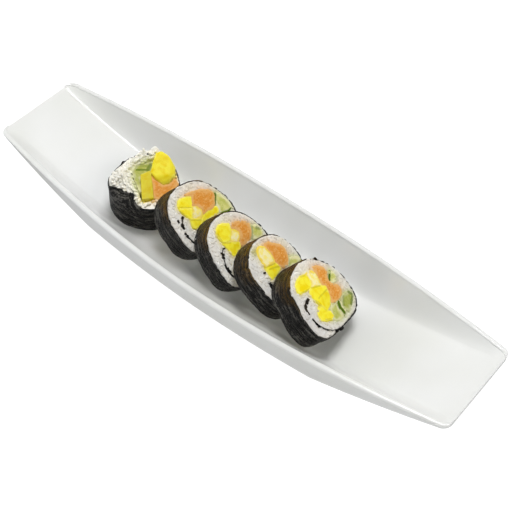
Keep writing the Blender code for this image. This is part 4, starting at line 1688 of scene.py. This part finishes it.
# Corners of each filling's section, in slice coordinates
SECTIONS = {
    "roll1_radish_slab": ((-2.7, 0.0), (4.0, 1.8), (3.6, -5), (2.3, -16.1), (-4.9, -15.6)),
    "roll1_radish_chunk": ((3.9, 2.3), (6, -2.3), (10, -6.6), (14, -6.4), (18.5, -2.6), (20.3, 4),
        (17.2, 11), (13.5, 14.8), (10, 14), (6.8, 8.5)),
    "roll1_salmon": ((3.9, 1.5), (3.9, -5), (2.5, -15.8), (7, -17.5), (14, -14), (20, -7.5), (18.5, -2.9),
        (14, -6.7), (10, -6.9), (6, -2.6)),
    "roll1_cucumber": ((-6.8, 1.5), (-6, 7.5), (-3, 10.8), (2, 11.8), (5.5, 12.2), (6.6, 8.8), (4.1, 2.5),
        (-2.8, 0.8), (-4.2, -9.5), (-5.2, -9.5), (-6.2, -4)),
    "roll2_radish_a": ((-9.5, 17.2), (-6.4, 17.2), (-3, 16.2), (-0.4, 14.9), (-2.1, 12.1), (-4.5, 9.2),
        (-8.5, 11.5), (-11.9, 13.7)),
    "roll2_radish_b": ((-11.9, 13), (-8.3, 10.7), (-5.1, 8.7), (-6.7, 6.2), (-8.8, 3.9), (-6.7, 2.1),
        (-3.7, 0.3), (-3.4, -1.3), (-6.5, -2), (-10.1, -2.2), (-11.3, -0.8), (-9.8, 4), (-10.9, 7.4),
        (-11.7, 10.5)),
    "roll2_radish_c": ((3.1, 1.9), (6.4, 1.3), (10.4, 0.9), (10.1, -1.7), (6.6, -2.8), (1.2, -1.9),
        (-3.3, -1.1), (-0.7, 1.4)),
    "roll2_omelette": ((-3.6, 9.7), (-1.1, 8), (0.5, 5.1), (-0.8, 2.4), (-3.6, 0.7), (-6.2, 2.1),
        (-8.4, 3.5), (-5.8, 6.8)),
    "roll2_salmon": ((-3.4, 17.9), (1.8, 16.9), (7.1, 15), (11.7, 12.1), (13.4, 8.8), (12.9, 6.9),
        (9.8, 3), (7.4, 1.5), (3.1, 2.4), (-0.5, 2.1), (1, 5.1), (-0.6, 8.2), (-3.3, 10.2), (0, 14.9)),
    "roll2_cucumber": ((14.5, 8.1), (16.7, 6), (17.7, 2.3), (19, -1.5), (18.2, -4.7), (15.2, -5.8),
        (10.6, -4.3), (9.8, -2.5), (10.5, 0.6), (10.2, 2.7)),
    "roll3_radish_a": ((-5.3, 19.9), (-2.9, 20.6), (0, 19.7), (3.3, 17.3), (2, 14.7), (-0.4, 12),
        (-2.5, 9.8), (-5.6, 10.5), (-7.6, 12.3), (-7.8, 15.1), (-7.2, 17.6)),
    "roll3_radish_b": ((-7.7, 11.6), (-3.3, 8.5), (1.8, 4.9), (1.1, 2.7), (-1.8, 1.6), (-5, 0.9),
        (-6.7, 1.1), (-7.3, 3.6), (-7.2, 7.1), (-7.8, 10)),
    "roll3_omelette": ((2.5, 14.5), (4.5, 12.5), (5.8, 9.8), (3.8, 7), (1.2, 5.7), (-2.8, 8.7), (-0.1, 11.7)),
    "roll3_salmon": ((4.5, 16.6), (8.2, 15.5), (12.5, 13.1), (14.7, 9.3), (13.8, 6.2), (11.5, 3.4),
        (9.1, 2.1), (4.5, 2.1), (1.3, 2.8), (3.8, 6.3), (6.2, 9.4), (5, 12.7), (2.8, 14.7)),
    "roll3_cucumber": ((15.5, 7.2), (17.8, 6.4), (18.8, 3.4), (18.9, 0.3), (17.2, -1.5), (13.7, -0.6),
        (10.4, 1.2), (13, 4.5)),
    "roll4_radish": ((-4.4, 11.2), (-0.1, 9.2), (3.1, 7.1), (3.5, 4.2), (2.7, 2.5), (-1.9, 2.8), (-7.5, 3.7),
        (-6.3, 6.8)),
    "roll4_omelette": ((1.8, 21.1), (4.6, 20.2), (6.5, 17.8), (6.3, 13.3), (4.8, 9.4), (3.2, 7.3), (0, 9.3),
        (-3.8, 11.4), (-3, 14.4), (-1.6, 18.2)),
    "roll4_salmon": ((8.7, 18), (11.9, 16.3), (13.8, 12.9), (16.2, 9.2), (16.6, 5.8), (14.4, 2.5),
        (11.5, -0.2), (8.6, -0.9), (5.1, 0.7), (3.8, 4.2), (3.2, 7.2), (4.8, 9.4), (6.4, 13.3),
        (6.7, 17.6)),
    "roll4_cucumber": ((12.8, 0.1), (16.8, -2), (18.4, -4.8), (18.6, -7.3), (16, -7.3), (12, -5.2),
        (8.7, -2.3), (9.3, -0.7)),
    "roll5_radish_a": ((-5, 18.2), (-1.3, 17.4), (1.7, 15.6), (2.3, 12.9), (1, 10.5), (-2, 8.3),
        (-6.3, 10.6), (-10.6, 12.8), (-10.8, 15), (-8.7, 17.1)),
    "roll5_radish_b": ((-2, 8.2), (3.1, 4.1), (5.8, 0.5), (4, -2.2), (1.5, -4.9), (-1.7, -6.8), (-6.8, -6.8),
        (-6.9, -1.7), (-7.1, 2.5), (-6, 6.9), (-4.5, 8.7)),
    "roll5_radish_c": ((-9.1, -1.4), (-6.8, -2.1), (-6.8, -6.9), (-5.7, -9.3), (-6.1, -11.9), (-9, -12.4),
        (-12.2, -9.7), (-14.8, -6.3), (-13.2, -3.4)),
    "roll5_omelette": ((2.1, 15.5), (4.8, 14.9), (7.7, 12.5), (7.9, 9.3), (5.6, 5.1), (4.6, 3), (3, 4),
        (-2.1, 8.2), (0.9, 10.5), (2.3, 13)),
    "roll5_salmon": ((10.4, 13), (13.2, 10.8), (15.2, 6.7), (14.7, 4), (11.5, 1.9), (10.7, -2.3),
        (12.8, -6.5), (12, -9.5), (8.8, -10.9), (3.8, -10.1), (0.2, -7.6), (1.6, -5.1), (4.1, -2.3),
        (5.9, 0.4), (4.6, 3), (5.6, 5.1), (8, 9.3)),
    "roll5_cucumber_a": ((16.7, 2.5), (17.8, 0), (16.7, -3), (13.9, -3.7), (11.3, -2.1), (11.2, 0.3),
        (13.7, 1.7)),
    "roll5_cucumber_b": ((-1.5, -8.1), (1.3, -10.1), (0.2, -12.4), (-0.9, -15.5), (-1.4, -17.9),
        (-4.3, -17.6), (-7.6, -14.5), (-8.6, -11.7), (-5.4, -10)),
    "roll5_cucumber_c": ((2.8, -10), (5.7, -12.1), (3, -14.4), (2.5, -17.5), (-0.2, -18.3), (-0.2, -15.3),
        (1, -12.4)),
    "roll5_cucumber_d": ((9.1, -12.2), (12.2, -12.8), (15.2, -14.8), (15.4, -17.3), (12.1, -19),
        (8.4, -19.8), (4.3, -19.9), (3.1, -17.6), (3.6, -14.6), (6.2, -12.9)),
}
# How the upper ends differ from a flat cut
ENDS = {
    "roll1_radish_slab": {
        "top": 8.0,
        "bevel": 0.12,
        "swell": 0.15,
        "facets": (Facet((0.0, -16.2, 1.7), (0.04, -0.28, 1.0)),),
    },
    "roll1_radish_chunk": {
        "top": 9.0,
        "bevel": 0.8,
        "swell": 0.2,
        "facets": (Facet((12.0, 4.0, 5.6), (-0.06, -0.2, 1.0)), Facet((12.0, -2.6, 4.0), (-0.1, -0.75, 1.0)),
                   Facet((18.6, 3.0, 4.2), (1.1, -0.4, 1.0)), Facet((5.6, 6.0, 4.6), (-1.1, 0.1, 1.0))),
    },
    "roll1_salmon": {"top": 3.0, "swell": 0.2, "facets": (Facet((8.0, -12.0, 0.8), (0.1, -0.1, 1.0)),)},
    "roll1_cucumber": {"top": 3.0, "swell": 0.2, "facets": (Facet((0.0, 7.0, 1.4), (-0.08, 0.05, 1.0)),)},
    "roll2_radish_b": {"top": 0.25},
    "roll2_salmon": {"top": 0.1},
    "roll3_radish_a": {"top": 0.25},
    "roll4_omelette": {"top": 0.3},
    "roll4_radish": {"top": 0.15},
    "roll5_radish_b": {"top": 0.3},
    "roll5_cucumber_c": {"top": 0.15},
}
# The nori's inner end in each slice, tip first
FLAPS = {
    2: ((-13.7, 8), (-14.6, 5.6), (-16.5, 4.6), (-17.1, 1), (-17.6, -2), (-17.2, -6),
        (-15.6, -10.5), (-12.3, -15), (-7.5, -18.8)),
    3: ((-9.4, 8.8), (-11.5, 7), (-13.1, 4.8), (-14.4, 1.5), (-15.5, -1.5), (-15.5, -6),
        (-14, -11), (-11, -15.6), (-6.5, -19)),
    4: ((-11, 4.6), (-12.6, 0), (-13.5, -6), (-12.6, -12), (-9.6, -17.5), (-5, -21.5)),
    5: ((-9.3, 6.8), (-11.5, 7.6), (-14.6, 7), (-16.3, 4.6), (-17.3, 2), (-18.4, -2),
        (-18.8, -6.3), (-17.6, -11), (-15, -15.4), (-11.4, -18.8)),
}
# Where that end meets the outer turn, in degrees
JOINS = {2: 266.0, 3: 267.0, 4: 271.0, 5: 251.0}
# Mounds and dips of the loose end: place, height and reach
HEAPS = (
    (-15.8, 5.8, 2.8, 4.6), (11.0, 19.0, 7.6, 3.8), (2.0, 18.5, 4.8, 3.4), (6.4, 18.4, -2.0, 1.8),
    (-17.0, 1.5, -1.6, 1.5), (-13.0, 0.6, -1.6, 1.5), (-7.6, 7.6, -1.8, 1.5), (-6.4, 2.8, -1.4, 1.2),
    (-11.0, -2.8, 1.4, 3.0), (-8.5, 11.8, 1.4, 2.6),
)
# Crumpled bits of nori: both ends and the thickness
TORN = {
    1: ((-7.3, 5.6, -6.9, 3.0, 0.3), (-4.0, 17.6, -2.2, 17.2, 0.4), (4.2, 15.0, 5.4, 15.6, 0.4),
        (-17.2, 9.4, -16.2, 9.9, 0.4)),
    2: ((-13.5, 8.5, -13.3, 6.9, 1.3), (-17.5, 8.3, -16.7, 6.5, 1.0), (-16.8, 5.0, -16.5, 3.3, 1.4),
        (-16.5, 3.3, -16.5, 1.5, 0.7), (-18.3, -0.5, -17.2, -1.3, 1.1), (-17.6, -2.2, -17.3, -3.6, 1.4)),
    3: ((-8.7, 8.6, -9.1, 7.7, 1.1), (-12.9, 7.5, -12.3, 6.6, 0.8), (-12.0, 6.4, -12.2, 5.1, 1.2),
        (-13.0, 4.7, -13.0, 3.4, 1.1), (-15.1, -1.5, -15.4, -3.1, 1.2), (-15.4, -3.1, -15.0, -5.6, 1.0)),
    4: ((-7.4, 10.6, -7.9, 9.6, 1.4), (-9.9, 4.1, -10.3, 3.5, 0.8), (-10.9, 3.4, -10.9, 1.9, 1.2)),
    5: ((-9.3, 6.5, -11.5, 7.0, 1.6), (-11.2, 6.7, -12.9, 6.5, 1.0), (-14.4, 7.3, -15.6, 5.6, 1.7),
        (-19.1, -5.9, -19.3, -7.0, 1.1), (-10.3, -20.1, -7.9, -21.0, 1.5), (16.2, 14.7, 17.0, 13.3, 0.9)),
}
# Darker marks on the fillings: cucumber peel, and painted shade along the radish pieces' seams and edges, at
# the chunk's bottom and over the slab
MARKS = {
    # the chunk: the wide faint mark deepens its yellow; the mark along its bottom is painted shade
    "roll1_radish_chunk": (Mark((8.0, 2.0), (16.0, 2.0), 14.0, 0.12),
                           Mark((10.0, -7.0), (17.0, -6.0), 3.0, 0.26)),
    # darker green lines and patches on the cucumber
    "roll1_cucumber": (Mark((-6.0, 3.0), (6.0, 10.0), 12.0, 0.28), Mark((-3.5, 8.0), (3.3, 5.8), 1.3, 0.85),
                       Mark((3.6, 6.8), (5.8, 9.6), 2.2, 0.8), Mark((-1.0, 10.4), (3.0, 9.6), 1.4, 0.5)),
    # painted shade: the whole slab darker, standing in for a face tilted further from the light
    "roll1_radish_slab": (Mark((-1.0, -16.0), (0.0, 2.0), 14.0, 0.34),),
    # painted shade: dark seams along the radish pieces' edges; roll 5's second piece also gets a faint broad
    # darker patch
    "roll2_radish_a": (Mark((-11.6, 14.1), (-4.7, 9.5), 0.8, 0.3),),
    "roll2_radish_b": (Mark((-12.3, 11.4), (-10.1, 4.7), 0.8, 0.3), Mark((-9.7, 3.6), (-4.0, 0.1), 0.8, 0.3)),
    "roll3_radish_a": (Mark((-7.0, 17.5), (-7.6, 12.7), 0.8, 0.3),),
    "roll3_radish_b": (Mark((-7.8, 11.2), (-3.5, 8.3), 0.8, 0.3), Mark((-8.3, 9.5), (-7.6, 3.1), 0.8, 0.3)),
    "roll4_radish": (Mark((-4.5, 11.4), (2.5, 7.3), 0.9, 0.38), Mark((-3.4, 8.4), (4.2, 3.1), 0.8, 0.3)),
    "roll5_radish_a": (Mark((-11.3, 13.1), (-2.1, 8.2), 0.8, 0.3), Mark((-1.3, 17.6), (1.7, 15.6), 0.8, 0.3)),
    "roll5_radish_b": (Mark((-2.0, 8.3), (3.3, 4.2), 0.9, 0.38), Mark((-4.3, 1.4), (4.6, -0.9), 0.8, 0.3),
                       Mark((-7.2, 2.5), (-6.9, -1.7), 0.8, 0.3), Mark((-3.0, -4.0), (0.5, -3.0), 5.0, 0.1)),
    "roll5_radish_c": (Mark((-8.9, -1.4), (-6.6, -2.0), 0.8, 0.3), Mark((-6.6, -2.0), (-6.9, -6.8), 0.8, 0.3),
                       Mark((-12.4, -8.7), (-9.6, -11.4), 0.8, 0.3)),
    # darker green lines and patches on the cucumbers
    "roll2_cucumber": (Mark((10.2, 3.0), (14.3, 8.0), 1.3), Mark((10.6, -4.6), (15.4, -6.0), 1.6),
                       Mark((15.0, -5.6), (17.4, -5.4), 1.2)),
    "roll3_cucumber": (Mark((17.6, 4.4), (18.9, 3.0), 1.5, 0.6), Mark((10.6, 1.4), (15.4, 7.2), 1.2, 0.5)),
    "roll4_cucumber": (Mark((8.8, -2.4), (12.8, 0.2), 1.0, 0.3), Mark((12.0, -5.4), (18.6, -7.6), 0.9, 0.5)),
    "roll5_cucumber_a": (Mark((16.6, 2.5), (11.3, 0.2), 1.3),),
    "roll5_cucumber_b": (Mark((-6.0, -9.0), (-2.0, -17.0), 12.0, 0.14),),
    "roll5_cucumber_c": (Mark((3.4, -11.0), (1.2, -13.6), 1.9), Mark((1.4, -13.4), (0.6, -17.8), 1.5)),
    "roll5_cucumber_d": (Mark((4.0, -17.0), (15.0, -15.0), 12.0, 0.34),
                         Mark((9.0, -19.4), (15.2, -17.6), 1.6, 0.8),
                         Mark((15.0, -17.4), (14.6, -14.6), 1.6, 0.8),
                         Mark((9.2, -12.6), (4.4, -15.4), 1.2, 0.6)),
}
# Juice stains on the rice; the grey and bluish patches at x from -20 to -12, beside the nori, are painted
# shade
STAINS_AND_SHADE = {
    1: (StainAndShade(-6.2, -6.0, 1.6, (0.86, 0.92, 0.6)),),
    2: (StainAndShade(2.0, 19.5, 4.0, (1.0, 0.93, 0.78)), StainAndShade(-18.0, -3.0, 8.0, (0.93, 0.95, 1.0))),
    3: (StainAndShade(3.5, 20.0, 4.0, (1.0, 0.95, 0.8)), StainAndShade(-18.0, 0.0, 9.0, (0.88, 0.93, 1.0))),
    4: (StainAndShade(-1.2, 21.0, 2.8, (0.62, 0.6, 0.2), 1.0), StainAndShade(18.0, 8.0, 4.0, (0.92, 0.9, 0.72)),
        StainAndShade(-12.5, 17.5, 5.0, (0.72, 0.74, 0.8)), StainAndShade(-16.5, 3.0, 8.0, (0.92, 0.95, 1.0))),
    5: (StainAndShade(4.0, 18.6, 3.5, (1.0, 0.95, 0.84)), StainAndShade(-15.0, 15.0, 6.0, (0.7, 0.72, 0.74)),
        StainAndShade(-20.0, -2.0, 10.0, (0.68, 0.7, 0.78))),
}


def make_slices() -> list[Slice]:
    """Describe the five slices without building them.

    Returns:
        The slices, first the loose end.
    """
    lies = [
        Lie(1, -69.4, -6.1, -35.8, 81.9, 22.6),
        Lie(2, -17.6, -7.1, -3.6, 51.9, 20.5),
        Lie(3, 14.9, -11.3, 0.3, 49.3, 16.2),
        Lie(4, 44.6, -10.9, 18.4, 50.7, 15.3),
        Lie(5, 72.8, -8.4, 17.4, 51.9, 18.0),
    ]
    slices = []
    for lie in lies:
        outline = Outline(lie)
        if lie.number in FLAPS:
            wrap = NoriWrap(lie, outline, FLAPS[lie.number], JOINS[lie.number], TORN[lie.number])
        else:
            wrap = FoldedWrap(lie, outline, torn=TORN[lie.number])
        prefix = lie.node("")
        rods = tuple(
            FillingRod(lie, node[len(prefix):], section, MARKS.get(node, ()), **ENDS.get(node, {}))
            for node, section in SECTIONS.items() if node.startswith(prefix))
        slices.append(Slice(lie, wrap, rods, STAINS_AND_SHADE[lie.number]))
    return slices


# The studio

@dataclass(frozen=True)
class Studio:
    """A white table, soft light from above and behind, and the camera."""

    azimuth: float = 38.41
    elevation: float = 50.06
    roll: float = 1.56
    distance: float = 668.83
    lens: float = 77.2
    aim: tuple[float, float, float] = (16.84, -0.45, 17.69)
    sensor: float = 36.0
    front: float = 0.25
    back: float = 0.27
    sky_from: float = -0.9
    sky_to: float = 0.6
    table_side: float = 6.0
    table_drop: float = 0.0002

    def build(self) -> None:
        """Set up the table, the lights and the camera."""
        self.table()
        self.sky()
        self.light("key", (-80.0, 320.0, 1700.0), 700.0, 19.2)
        self.light("warm_fill", (1100.0, 60.0, 900.0), 600.0, 3.0, (1.0, 0.94, 0.86))
        self.light("low_fill", (-900.0, -150.0, 380.0), 500.0, 2.2)
        self.camera()

    def table(self) -> None:
        """Lay the pale table under the plate."""
        board = Board("table_white")
        board.set(base_color=(0.2, 0.2, 0.2, 1.0), roughness=0.9)
        board.set(emission_color=(1.0, 1.0, 1.0, 1.0), emission_strength=0.95)
        bpy.ops.object.select_all(action="DESELECT")
        bpy.ops.mesh.primitive_plane_add(size=self.table_side, location=(0.0, 0.0, -self.table_drop))
        table = bpy.context.object
        table.name = "table"
        table.data.materials.append(board.material)
        table.visible_glossy = False

    def sky(self) -> None:
        """Fill the room with soft white light, dimmer from the front."""
        world = bpy.data.worlds.new("studio")
        world.use_nodes = True
        tree = world.node_tree
        place = tree.nodes.new("ShaderNodeTexCoord")
        parts = tree.nodes.new("ShaderNodeSeparateXYZ")
        level = tree.nodes.new("ShaderNodeMapRange")
        for name, number in (("From Min", self.sky_from), ("From Max", self.sky_to), ("To Min", self.front),
                             ("To Max", self.back)):
            level.inputs[name].default_value = number
        background = tree.nodes["Background"]
        background.inputs["Color"].default_value = (0.98, 0.99, 1.0, 1.0)
        tree.links.new(place.outputs["Generated"], parts.inputs["Vector"])
        tree.links.new(parts.outputs["Y"], level.inputs["Value"])
        tree.links.new(level.outputs["Result"], background.inputs["Strength"])
        bpy.context.scene.world = world

    def light(self, name: str, place: tuple[float, float, float], size: float, watts: float,
              tint: Colour = (1.0, 1.0, 1.0)) -> None:
        """Hang a square soft light that faces the plate.

        Args:
            name: The light's name.
            place: Where it hangs, in millimetres.
            size: Its side, in millimetres.
            watts: Its power.
            tint: Its colour.
        """
        lamp = bpy.data.lights.new(name, "AREA")
        lamp.shape = "SQUARE"
        lamp.size = size * MM
        lamp.energy = watts
        lamp.color = tint
        holder = put(name, lamp)
        holder.location = Vector(place) * MM
        holder.rotation_euler = (-Vector(place)).to_track_quat("-Z", "Y").to_euler()

    def camera(self) -> None:
        """Place the camera."""
        data = bpy.data.cameras.new("camera")
        data.lens = self.lens
        data.sensor_width = self.sensor
        camera = put("camera", data)
        turn = (Matrix.Rotation(math.radians(self.azimuth), 4, "Z")
                @ Matrix.Rotation(math.radians(90.0 - self.elevation), 4, "X")
                @ Matrix.Rotation(math.radians(self.roll), 4, "Z"))
        back = turn.to_3x3() @ Vector((0.0, 0.0, self.distance))
        camera.matrix_world = Matrix.Translation((Vector(self.aim) + back) * MM) @ turn
        bpy.context.scene.camera = camera


def main() -> None:
    """Build the studio, the plate and the slices."""
    logging.basicConfig(level=logging.INFO, format="%(message)s")
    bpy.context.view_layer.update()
    bpy.context.scene.view_settings.view_transform = "Standard"
    Studio().build()
    Plate().build(PorcelainGlaze().make())
    nori = NoriSheet().make()
    rice = CookedRice().make()
    finishes = {finish.kind: finish.make() for finish in FILLING_FINISHES}
    mould = GrainMould()
    for piece in make_slices():
        piece.build(mould, nori, rice, finishes)


if __name__ == "__main__":
    main()
